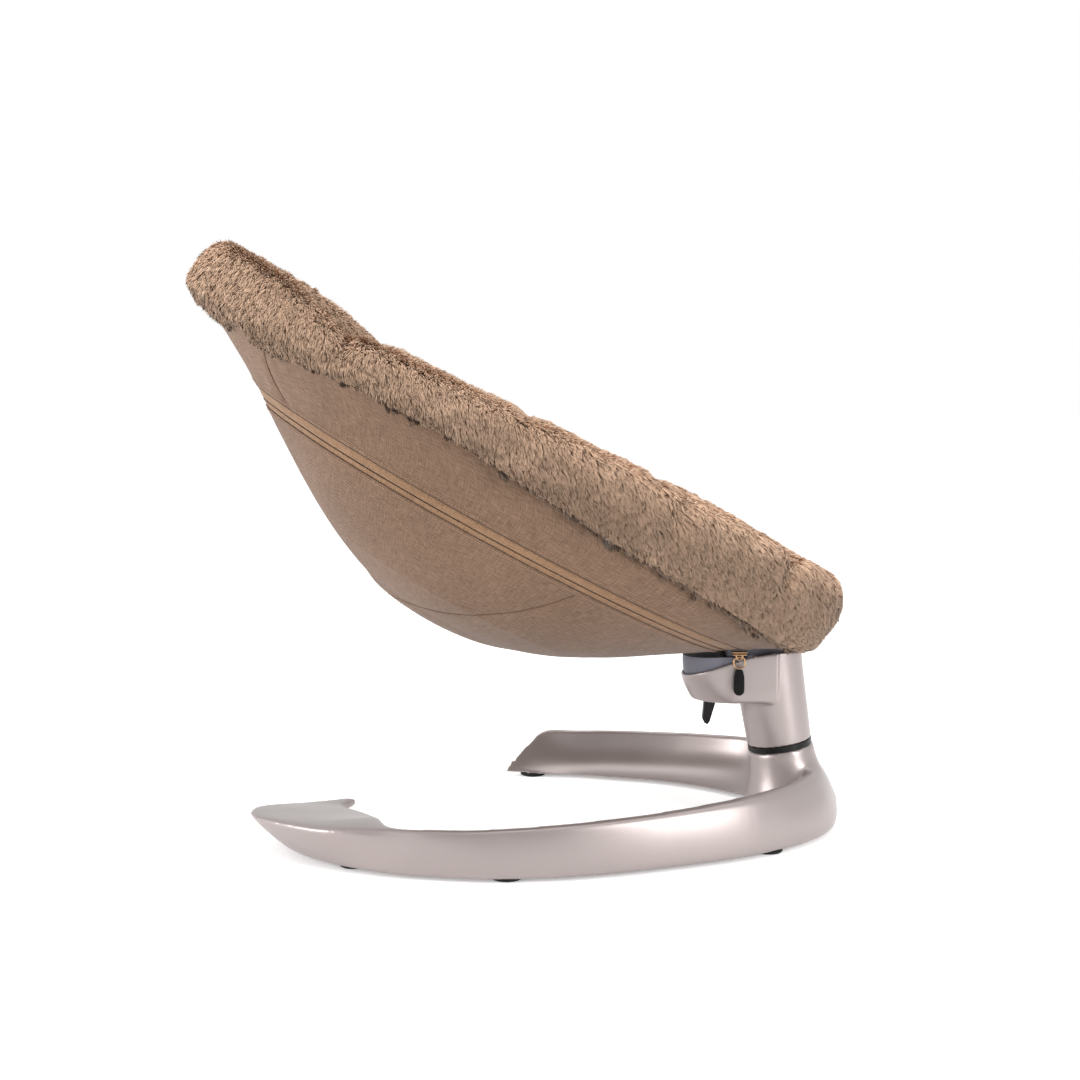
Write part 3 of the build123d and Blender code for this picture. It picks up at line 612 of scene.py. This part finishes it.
# the cushion itself: the skin, a floor to the nest and an under-side, all one closed form
floor_centre = to_world(np.array(0.31), np.array(0.0), np.array(-0.149))
floor_rows = [skin[-1] + (floor_centre - skin[-1]) * k - AXIS_Z * 0.004 * k for k in (0.35, 0.7, 0.93)]
under = [fur_skin(t_row, np.full(COLUMNS, z), np.full(COLUMNS, i)) for z, i in
         ((-0.020, 0.0005), (0.004, 0.0005), (0.0135, 0.006), (0.0135, 0.026), (0.0, 0.0285),
          (-0.014, 0.0285), (-0.042, 0.017),
          (-0.072, 0.013), (-0.104, 0.0105), (-0.149, 0.0095), (-0.180, 0.010))]
low_centre = to_world(np.array(0.315), np.array(0.0), np.array(-0.184))
under.append(under[-1] + (low_centre - under[-1]) * 0.9)
ring_rows = np.array(list(reversed(under)) + list(skin) + floor_rows)
bottom = len(ring_rows)
cushion = make("fur_insert_cushion", ring_rows[:, ::3], grid_faces(bottom, COLUMNS // 3, True), FELT,
               "seat",
               (np.tile(np.linspace(0, 1.7, COLUMNS // 3), (bottom, 1)),
                np.repeat(np.linspace(0, 0.9, bottom)[:, None], COLUMNS // 3, 1)))
bm = bmesh.new()
bm.from_mesh(cushion.data)
bmesh.ops.holes_fill(bm, edges=[e for e in bm.edges if e.is_boundary], sides=0)
bmesh.ops.recalc_face_normals(bm, faces=bm.faces)
bm.to_mesh(cushion.data)
bm.free()
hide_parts("fur_insert")


def scatter(points, normal, count, weight, seed):
    """Roots spread over a wrapped grid, evenly by area times weight."""
    r = np.random.default_rng(seed)
    a = points[:-1]
    b = np.roll(points, -1, 1)[:-1]
    c = points[1:]
    area = np.linalg.norm(np.cross(b - a, c - a), axis=-1) * weight
    chance = (area / area.sum()).ravel()
    pick = r.choice(len(chance), count, p=chance)
    i, j = np.divmod(pick, points.shape[1])
    u, v = r.random((2, count, 1))
    j2 = (j + 1) % points.shape[1]

    def at(g):
        return (g[i, j] * (1 - u) + g[i, j2] * u) * (1 - v) + (g[i + 1, j] * (1 - u) + g[i + 1, j2] * u) * v

    n = at(normal)
    return at(points), n / np.linalg.norm(n, axis=1, keepdims=True), i


def pile(name, points, normal, count, weight, length, width, outward, seed, clump=0.0042, wild=0.10,
         gather=0.22, tint=1.0, stand=0.40):
    """Plush: pointed strands that lie down and outward along the skin and gather into tufts."""
    r = np.random.default_rng(seed)
    root, n, _ = scatter(points, normal, count, weight, seed)
    centres, cn, _ = scatter(points, normal, max(int(points_area(points, weight) / clump**2), 10), weight,
                             seed + 1)
    tree = kdtree.KDTree(len(centres))
    for k, c in enumerate(centres):
        tree.insert(c, k)
    tree.balance()
    owner = np.array([tree.find(p)[1] for p in root])
    tuft_length = length * (0.82 + 0.36 * r.random(len(centres)))
    swirl = r.normal(0, wild, (len(centres), 3))
    own = r.normal(0, 0.13, (count, 3))
    reach = tuft_length[owner] * (0.74 + 0.4 * r.random(count))
    away = root - np.array((0.02, 0.0, 0.40))
    away /= np.linalg.norm(away * (1, 1, 0), axis=1, keepdims=True)
    lay = away * (outward, outward, 0) + np.array((0.28, 0.0, -0.85))
    fall = lay - n * np.sum(lay * n, 1, keepdims=True)
    aim = n * stand + fall * 0.95 + swirl[owner] + own
    aim /= np.linalg.norm(aim, axis=1, keepdims=True)
    aim += n * np.clip(0.16 - np.sum(aim * n, 1), 0, 1)[:, None]
    tip = root + aim * reach[:, None]
    peak = centres[owner] + (cn[owner] * stand + fall * 0.85 + swirl[owner]) * (
        tuft_length[owner] * 0.9)[:, None]
    tip = tip + (peak - tip) * gather + fall * (reach * 0.12)[:, None]
    mid = root * 0.5 + tip * 0.5 + n * (reach * 0.15)[:, None]
    across = np.cross(tip - root, n + r.normal(0, 0.8, (count, 3)))
    across /= np.maximum(np.linalg.norm(across, axis=1, keepdims=True), 1e-9)
    across *= np.where(np.sum(np.cross(across, tip - root) * n, 1) < 0, -1.0, 1.0)[:, None]
    w = (width * (0.7 + 0.6 * r.random(count)))[:, None]
    verts = np.stack([root, mid - across * w * 0.5, mid + across * w * 0.5, tip], 1)
    tris = (np.array([(0, 2, 1), (1, 2, 3)])[None] + np.arange(count)[:, None, None] * 4).reshape(-1, 3)
    lean = aim[:, None] * np.array([0.1, 0.25, 0.25, 0.45])[None, :, None]
    lit = n * (1, 1, 0) + (0, 0, 1) * np.maximum(n[:, 2:], -0.2)
    shade = lit[:, None] * 0.8 + lean + across[:, None] * np.array([0.0, -0.25, 0.25, 0.0])[None, :, None]
    shade = shade / np.linalg.norm(shade, axis=-1, keepdims=True)
    # darker at the root than at the tip: painted shade among the fibres
    level = np.array([0.0, 0.6, 0.6, 1.0])[None, :, None]
    dark = np.array(srgb(150, 118, 94)[:3])
    pale = np.array(srgb(211, 179, 153)[:3])
    # each fibre's own random tone and its tuft's, times painted light: fibres on upward-facing skin are made
    # paler, those on side and downward-facing skin darker
    strand_tone_and_painted_light = (((0.90 + 0.20 * r.random(count)) * (0.46 + 0.70 * np.clip(n[:, 2] + 0.1, 0, 1)))[:, None, None]
              * (0.90 + 0.2 * r.random(len(centres)))[owner][:, None, None])
    colour = (dark + (pale - dark) * level) * strand_tone_and_painted_light * tint
    per = 90000
    for k, first in enumerate(range(0, count, per)):
        last = min(first + per, count)
        obj = make("%s_%d" % (name, k + 1), verts[first:last], tris[first * 2:last * 2] - first * 4, FUR,
                   "seat")
        layer = obj.data.color_attributes.new("pile", "FLOAT_COLOR", "POINT")
        rgba = np.ones(((last - first) * 4, 4), np.float32)
        rgba[:, :3] = colour[first:last].reshape(-1, 3)
        layer.data.foreach_set("color", rgba.ravel())
        obj.data.normals_split_custom_set_from_vertices(shade[first:last].reshape(-1, 3).tolist())


def points_area(points, weight):
    a = points[:-1]
    b = np.roll(points, -1, 1)[:-1]
    c = points[1:]
    return float((np.linalg.norm(np.cross(b - a, c - a), axis=-1) * (weight > 0.3)).sum())


split = int(np.argmax(profile[:, 1] > 0.040))
rim = skin[:split + 1]
rim_n = normals[:split + 1]
nest = skin[split:]
nest_n = normals[split:]
few = 1.0
even = np.ones((len(rim) - 1, COLUMNS))
pile("fur_pile_rim", rim, rim_n, int(380000 * few), even, 0.0080, 0.00070, 0.45, 11)
pile("fur_pile_edge", rim[:7], rim_n[:7], int(60000 * few), even[:6], 0.0100, 0.00070, 0.20, 21,
     clump=0.0060, wild=0.50, gather=0.55, tint=0.86, stand=0.6)
pile("fur_pile_nest", nest, nest_n, int(90000 * few), np.ones((len(nest) - 1, COLUMNS)), 0.0090, 0.0010,
     -0.2, 31)
floor_grid = np.array([skin[-1]] + floor_rows)
floor_n = np.tile(AXIS_Z, (len(floor_grid), COLUMNS, 1))
pile("fur_pile_floor", floor_grid, floor_n, int(20000 * few), np.ones((len(floor_grid) - 1, COLUMNS)),
     0.0090, 0.0012, 0.0, 51)


# ---------------------------------------------------------------- base ribbon
def section(x, y, outward, corners, bulge, scoop):
    """One upright slice of the ribbon as a closed ring of points, from its outer bottom edge round."""
    c = math.radians(outward)
    d = np.array((math.cos(c), math.sin(c), 0))
    outer_low, outer_high, inner_high, inner_low = [np.array(k, float) for k in corners]
    outer_mid = (outer_low + outer_high) / 2 + (bulge, 0)
    inner_mid = (inner_high + inner_low) / 2 + scoop
    crown = (outer_high + inner_high) / 2
    crown[1] = max(outer_high[1], inner_high[1]) + 0.6
    if inner_high[1] < outer_high[1] - 3:
        crown[1] = (outer_high[1] + inner_high[1]) / 2 + 0.5

    def arc(p, m, q, count):
        k = np.linspace(0, 1, count, endpoint=False)[:, None]
        return p * (1 - k) * (1 - 2 * k) + m * 4 * k * (1 - k) + q * k * (2 * k - 1)

    ring = np.vstack([arc(outer_low, outer_mid, outer_high, 16), arc(outer_high, crown, inner_high, 12),
                      arc(inner_high, inner_mid, inner_low, 16),
                      arc(inner_low, (inner_low + outer_low) / 2, outer_low, 12)])
    for _ in range(2):
        ring = (np.roll(ring, 1, 0) + 2 * ring + np.roll(ring, -1, 0)) / 4
    return (np.array((x + 4.0, y + 7.4, 0)) + ring[:, :1] * d + ring[:, 1:] * np.array((0, 0, 1.0))) / 1000


stations = [
    section(-180, 12, 176, [(3, 8), (5, 16), (-5, 16), (-5, 8)], 0.5, (-0.5, 0)),
    section(-196, -25, 184, [(10, 8), (26, 23), (-13, 19), (-12, 8)], 1.5, (-0.5, 0)),
    section(-200, -70, 186, [(24, 9), (62, 33), (-40, 25), (-39, 7)], 3, (-0.5, 0)),
    section(-196, -112, 188, [(30, 7.5), (64, 37.5), (-55, 31), (-53, 6)], 4, (1.0, 0)),
    section(-183, -142, 198, [(27, 6), (48, 40.5), (-50, 36), (-48, 5)], 3, (3, -2)),
    section(-157, -169, 226, [(17, 4.5), (31, 42.5), (-37, 39.5), (-39, 3.5)], 1.5, (6, -4)),
    section(-118, -199, 250, [(5, 3.5), (4, 44), (-9, 43.5), (-40, 3)], 1.5, (5, -6)),
    section(-75, -213, 263, [(0, 3), (0, 44.5), (-10, 45.5), (-36, 3)], 1.8, (6, -7)),
    section(-25, -219, 269, [(0, 3), (-3, 46), (-12, 47), (-36, 3)], 2, (6, -8)),
    section(50, -211, 281, [(0, 3), (-3, 48), (-13, 50), (-38, 3)], 2, (6, -8)),
    section(138, -184, 294, [(0, 3), (-5, 49.5), (-16, 52.5), (-40, 3)], 2.5, (5, -8)),
    section(232, -141, 314, [(0, 3), (-6, 52), (-21, 57), (-47, 3)], 3, (4, -6)),
    section(301, -78, 334, [(0, 3), (-14, 54), (-30, 58), (-53, 3)], 4, (4, -4)),
    section(325, 4, 362, [(0, 3), (-18, 57), (-32, 60), (-55, 3)], 5.5, (4, -4)),
    section(306, 80, 387, [(0, 3), (-10, 53), (-25, 56), (-64, 3)], 4, (6, -6)),
    section(258, 138, 410, [(0, 3), (2, 50), (-10, 52), (-72, 3)], 2.5, (14, -10)),
    section(186, 174, 422, [(0, 3), (3, 48), (-7, 49), (-61, 3)], 2, (12, -10)),
    section(110, 191, 434, [(0, 3), (5, 46.5), (-5, 47.5), (-50, 3)], 2, (10, -9)),
    section(60, 196, 440, [(0, 4), (6, 45.5), (-4, 46.5), (-41, 3)], 2, (8, -8)),
    section(14, 187, 416, [(8, 6), (23, 44), (14, 45), (-29, 3.5)], 1.5, (3, -3)),
    section(-8, 180, 402, [(8, 9), (20, 30), (13, 31), (-22, 4)], 1, (-1, 2)),
]
rings = catmull(np.array(stations).reshape(len(stations), -1), 10).reshape(-1, 56, 3)
rings = np.maximum(rings, (-9, -9, 0.0029))
first_cap = rings[0].mean(0)
last_cap = rings[-1].mean(0)
ends = [np.tile(first_cap, (56, 1)) + (rings[0] - first_cap) * 0.02,
        np.tile(last_cap, (56, 1)) + (rings[-1] - last_cap) * 0.02]
all_rings = np.array([ends[0]] + list(rings) + [ends[1]])
ribbon = make("ribbon", all_rings, grid_faces(len(all_rings), 56, True), None, None)
flare = [(0.001, -0.064), (0.050, -0.064), (0.0450, -0.052), (0.0410, -0.040), (0.0378, -0.030),
         (0.0358, -0.020), (0.0345, -0.012), (0.0336, -0.006), (0.0333, -0.0032),
         (0.0326, -0.00285), (0.001, -0.00285)]
stub_points, stub_faces = lathe(flare, RING, COLUMN)
stub_points[..., 2] = np.maximum(stub_points[..., 2], 0.0045)
stub = make("stub", stub_points, stub_faces, None, None)


def close_holes(obj):
    bm = bmesh.new()
    bm.from_mesh(obj.data)
    bmesh.ops.remove_doubles(bm, verts=bm.verts, dist=1e-6)
    bmesh.ops.holes_fill(bm, edges=[e for e in bm.edges if e.is_boundary], sides=0)
    bmesh.ops.recalc_face_normals(bm, faces=bm.faces)
    bm.to_mesh(obj.data)
    bm.free()


def join(target, other):
    bm = bmesh.new()
    bm.from_mesh(target.data)
    bm.from_mesh(other.data)
    bm.to_mesh(target.data)
    bm.free()
    bpy.data.objects.remove(other)


def merged(obj, voxel, centre, near, far, rounds, all_over=2):
    """One skin over joined solids, with the crease round a centre smoothed into a fillet."""
    remesh = obj.modifiers.new("one_skin", "REMESH")
    remesh.mode = "VOXEL"
    remesh.voxel_size = voxel
    remesh.adaptivity = 0.0
    apply(obj)
    co = np.zeros(len(obj.data.vertices) * 3, np.float32)
    obj.data.vertices.foreach_get("co", co)
    co = co.reshape(-1, 3)
    edges = np.zeros(len(obj.data.edges) * 2, np.int32)
    obj.data.edges.foreach_get("vertices", edges)
    edges = edges.reshape(-1, 2)
    degree = np.bincount(edges.ravel(), minlength=len(co))[:, None]
    gap = centre(co)
    mask = np.clip((far - gap) / (far - near), 0, 1)[:, None]

    def mean():
        total = np.zeros_like(co, dtype=np.float64)
        for k in range(3):
            total[:, k] = (np.bincount(edges[:, 0], co[edges[:, 1], k], len(co))
                           + np.bincount(edges[:, 1], co[edges[:, 0], k], len(co)))
        return total / degree

    for k in range(rounds):
        weight = np.maximum(mask, 1.0 if k < all_over else 0.0)
        co = co + (mean() - co) * 0.6 * weight
    obj.data.vertices.foreach_set("co", co.astype(np.float32).ravel())
    obj.data.update()
    obj.data.shade_smooth()


close_holes(ribbon)
close_holes(stub)
join(ribbon, stub)


def stub_gap(p):
    rel = p - np.array(RING)
    lift = rel @ np.array(COLUMN)
    radial = np.linalg.norm(rel - lift[:, None] * np.array(COLUMN), axis=1)
    gap = np.abs(radial - 0.040) + np.clip(lift + 0.012, 0, 1) * 6
    return gap


merged(ribbon, 0.0019, stub_gap, 0.006, 0.020, 26, 3)
ribbon.name = "ribbon_base"
ribbon.data.materials.clear()
ribbon.data.materials.append(PAINT)
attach(ribbon, "base")
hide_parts("base_ribbon")

# ---------------------------------------------------------------- column housing: the CAD shape, eased
housing = bpy.data.objects.new("column_cup", nodes["column_housing"].data.copy())
bpy.context.scene.collection.objects.link(housing)
bm = bmesh.new()
bm.from_mesh(housing.data)
bmesh.ops.remove_doubles(bm, verts=bm.verts, dist=2e-6)
bm.to_mesh(housing.data)
bm.free()
# the blind end of the axle's bore is thin, so a plug thickens it and the axle ends sooner
AXLE_X, AXLE_Z, AXLE_END = 0.234, 0.167, -0.0340
PLUG_RADIUS, PLUG_THICKNESS, PLUG_SET_BACK = 0.0062, 0.0022, 0.0026
plug_outline = [(0.0005, 0.0), (PLUG_RADIUS, 0.0), (PLUG_RADIUS, PLUG_THICKNESS), (0.0005, PLUG_THICKNESS)]
plug_points, plug_faces = lathe(plug_outline, (AXLE_X, AXLE_END - PLUG_SET_BACK, AXLE_Z), (0, 1, 0))
plug = make("plug", plug_points, plug_faces, None, None)
close_holes(plug)
join(housing, plug)
# behind the axle the cup's rim rises towards the hull
RIM_X, RIM_Z, RIM_LIFT, RIM_EASE = 0.236, 0.168, 0.0045, 0.005
for v in housing.data.vertices:
    if v.co.z > RIM_Z and v.co.x > RIM_X:
        v.co.z += RIM_LIFT * min((v.co.z - RIM_Z) / RIM_EASE, 1.0)
axle = bpy.data.objects.new("axle_pin", nodes["recline_axle"].data.copy())
bpy.context.scene.collection.objects.link(axle)
for v in axle.data.vertices:
    v.co.y = max(v.co.y, AXLE_END)
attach(axle, "swing_column")
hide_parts("recline_axle")


def cup_gap(p):
    """Small along the inner corner where the round cup runs into the column."""
    x = p[:, 0] - 0.236
    z = p[:, 2] - 0.132
    return np.hypot(x, z) * 0.8


merged(housing, 0.0011, cup_gap, 0.004, 0.016, 22, 2)
housing.data.materials.clear()
housing.data.materials.append(PAINT)
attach(housing, "swing_column")
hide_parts("column_housing")


# ---------------------------------------------------------------- small pieces with eased edges
def eased(node, name, width, body, material):
    """A copy of a CAD piece with its edges rounded."""
    obj = bpy.data.objects.new(name, nodes[node].data.copy())
    bpy.context.scene.collection.objects.link(obj)
    bm = bmesh.new()
    bm.from_mesh(obj.data)
    bmesh.ops.remove_doubles(bm, verts=bm.verts, dist=2e-6)
    bmesh.ops.dissolve_limit(bm, angle_limit=0.03, verts=bm.verts, edges=bm.edges)
    bm.to_mesh(obj.data)
    bm.free()
    mod = obj.modifiers.new("ease", "BEVEL")
    mod.width = width
    mod.segments = 3
    mod.limit_method = "ANGLE"
    mod.angle_limit = math.radians(35)
    apply(obj)
    obj.data.materials.clear()
    obj.data.materials.append(material)
    obj.data.shade_smooth()
    obj.data.set_sharp_from_angle(angle=math.radians(40))
    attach(obj, body)
    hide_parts(node)
    return obj


eased("recline_lever", "release_lever", 0.0008, "lever", BLACK)


def block(size, centre, width, segments=3):
    """A box with rounded edges."""
    bm = bmesh.new()
    bmesh.ops.create_cube(bm, size=1.0, matrix=Matrix.Translation(centre) @ Matrix.Diagonal((*size, 1)))
    bmesh.ops.bevel(bm, geom=list(bm.edges), offset=width, segments=segments, profile=0.6, affect="EDGES")
    mesh = bpy.data.meshes.new("block")
    bm.to_mesh(mesh)
    bm.free()
    return mesh


def add_mesh(bm, mesh):
    bm.from_mesh(mesh)
    bpy.data.meshes.remove(mesh)


def whole(name, parts_list, material, body, stands_for):
    """One object from several meshes."""
    bm = bmesh.new()
    for mesh in parts_list:
        add_mesh(bm, mesh)
    mesh = bpy.data.meshes.new(name)
    bm.to_mesh(mesh)
    bm.free()
    mesh.materials.append(material)
    mesh.shade_smooth()
    mesh.set_sharp_from_angle(angle=math.radians(42))
    obj = bpy.data.objects.new(name, mesh)
    bpy.context.scene.collection.objects.link(obj)
    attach(obj, body)
    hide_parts(*stands_for)
    return obj


def plain(points, faces):
    mesh = bpy.data.meshes.new("plain")
    mesh.from_pydata(np.asarray(points).reshape(-1, 3).tolist(), [], np.asarray(faces).tolist())
    return mesh


for side, word in ((-1, "near"), (1, "far")):
    low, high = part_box("zip_slider_" + word)
    mid = (low + high) / 2
    pivot = Vector((mid.x, mid.y, low.z + 0.0026))
    top_z = high.z - 0.0022
    slider = [block((0.0155, 0.0068, 0.0018), Vector((mid.x, mid.y, top_z + 0.0012)), 0.0008),
              block((0.0140, 0.0064, 0.0017), Vector((mid.x, mid.y, top_z - 0.0012)), 0.0007),
              block((0.0035, 0.0030, 0.0030), Vector((mid.x - 0.003, mid.y, top_z)), 0.0006)]
    arch = [(mid.x + x, mid.y, pivot.z + z) for x, z in
            [(-0.0031, 0.0030), (-0.0031, 0.0004), (-0.0022, -0.0016), (0.0, -0.0024), (0.0022, -0.0016),
             (0.0031, 0.0004), (0.0031, 0.0030)]]
    slider.append(plain(*tube(arch, 0.0010)))
    whole("zip_slider_body_" + word, slider, BRONZE, "seat", ["zip_slider_" + word])
    loop = [(pivot.x + x, pivot.y, pivot.z + z) for x, z in
            [(-0.0036, 0.0), (-0.0018, 0.0004), (0.0018, 0.0004), (0.0036, 0.0), (0.0050, -0.0014),
             (0.0056, -0.0040), (0.0054, -0.0076),
             (0.0042, -0.0096), (0.0015, -0.0103), (-0.0015, -0.0103), (-0.0042, -0.0096),
             (-0.0054, -0.0076), (-0.0056, -0.0040), (-0.0050, -0.0014)]]
    whole("zip_link_ring_" + word, [plain(*tube(loop, 0.00095, closed=True))], BRONZE, "pull_" + word,
          ["zip_link_" + word])
    tab_low, tab_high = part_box("zip_tab_" + word)
    outline = []
    w = (tab_high.x - tab_low.x) / 2
    for k in range(13):
        s = math.pi * k / 12
        outline.append((w * math.cos(s), -w * math.sin(s) + w))
    outline += [(-w, 0.014), (-w * 0.96, 0.019), (-w * 0.72, 0.0245), (-w * 0.52, 0.0262),
                (w * 0.52, 0.0262), (w * 0.72, 0.0245), (w * 0.96, 0.019), (w, 0.014)]
    bm = bmesh.new()
    y_mid = (tab_low.y + tab_high.y) / 2
    verts = [bm.verts.new((pivot.x + x, y_mid - 0.0009, tab_low.z + z)) for x, z in outline]
    face = bm.faces.new(verts)
    made = bmesh.ops.extrude_face_region(bm, geom=[face])
    bmesh.ops.translate(bm, verts=[v for v in made["geom"] if isinstance(v, bmesh.types.BMVert)],
                        vec=(0, 0.0018, 0))
    bmesh.ops.recalc_face_normals(bm, faces=bm.faces)
    bmesh.ops.bevel(bm, geom=list(bm.edges), offset=0.0005, segments=3, profile=0.6, affect="EDGES")
    tab_mesh = bpy.data.meshes.new("tab")
    bm.to_mesh(tab_mesh)
    bm.free()
    whole("zip_pull_tab_" + word, [tab_mesh], HIDE, "pull_" + word, ["zip_tab_" + word])

# ---------------------------------------------------------------- stage, light and camera
floor_mesh = bpy.data.meshes.new("floor")
floor_mesh.from_pydata([(-40, -40, 0), (40, -40, 0), (40, 40, 0), (-40, 40, 0)], [], [(0, 1, 2, 3)])
floor = bpy.data.objects.new("floor", floor_mesh)
bpy.context.scene.collection.objects.link(floor)
white = Nodes("studio_white", (0.93, 0.93, 0.93, 1), 0.6)
white.color(white.ramp(white.noise(3.0, 1.0), [(0.3, (0.925, 0.925, 0.925, 1)),
                                               (0.7, (0.935, 0.935, 0.935, 1))]))
white.shader.inputs["Emission Color"].default_value = (1, 1, 1, 1)
white.shader.inputs["Emission Strength"].default_value = 0.26
floor_mesh.materials.append(white.mat)

world = bpy.data.worlds.new("studio")
bpy.context.scene.world = world
world.use_nodes = True
# a white room that darkens behind the camera, so that bare and painted metal keep their contrast
room = world.node_tree
direction = room.nodes.new("ShaderNodeTexCoord").outputs["Generated"]
split_xyz = room.nodes.new("ShaderNodeSeparateXYZ")
fade = room.nodes.new("ShaderNodeMapRange")
fade.inputs["From Min"].default_value = -0.9
fade.inputs["From Max"].default_value = 0.3
fade.inputs["To Min"].default_value = 0.50
fade.inputs["To Max"].default_value = 1.0
room.links.new(direction, split_xyz.inputs[0])
room.links.new(split_xyz.outputs["Y"], fade.inputs["Value"])
room.links.new(fade.outputs[0], room.nodes["Background"].inputs["Strength"])
room.nodes["Background"].inputs["Color"].default_value = (1, 1, 1, 1)


def softbox(name, at, look, size, power, colour=(1, 1, 1)):
    data = bpy.data.lights.new(name, "AREA")
    data.shape = "RECTANGLE"
    data.size, data.size_y = size
    data.energy = power
    data.color = colour
    obj = bpy.data.objects.new(name, data)
    bpy.context.scene.collection.objects.link(obj)
    obj.location = at
    obj.rotation_euler = (Vector(look) - Vector(at)).to_track_quat("-Z", "Y").to_euler()
    return obj


softbox("top_light", (0.2, 0.2, 2.4), (0.0, 0.0, 0.3), (2.4, 2.0), 30)
softbox("left_light", (-2.0, -0.9, 0.7), (-0.15, 0.0, 0.3), (1.2, 1.2), 44)
softbox("right_light", (1.5, -1.3, 0.8), (0.25, 0.0, 0.15), (0.35, 1.3), 29)

camera_data = bpy.data.cameras.new("camera")
camera_data.lens = 50
camera_data.sensor_width = 36
camera = bpy.data.objects.new("camera", camera_data)
bpy.context.scene.collection.objects.link(camera)
camera.location = (0.022, -1.515, 0.430)
camera.rotation_euler = (math.radians(90 - 5.33), 0, 0)
bpy.context.scene.camera = camera
bpy.context.scene.view_settings.view_transform = "Standard"
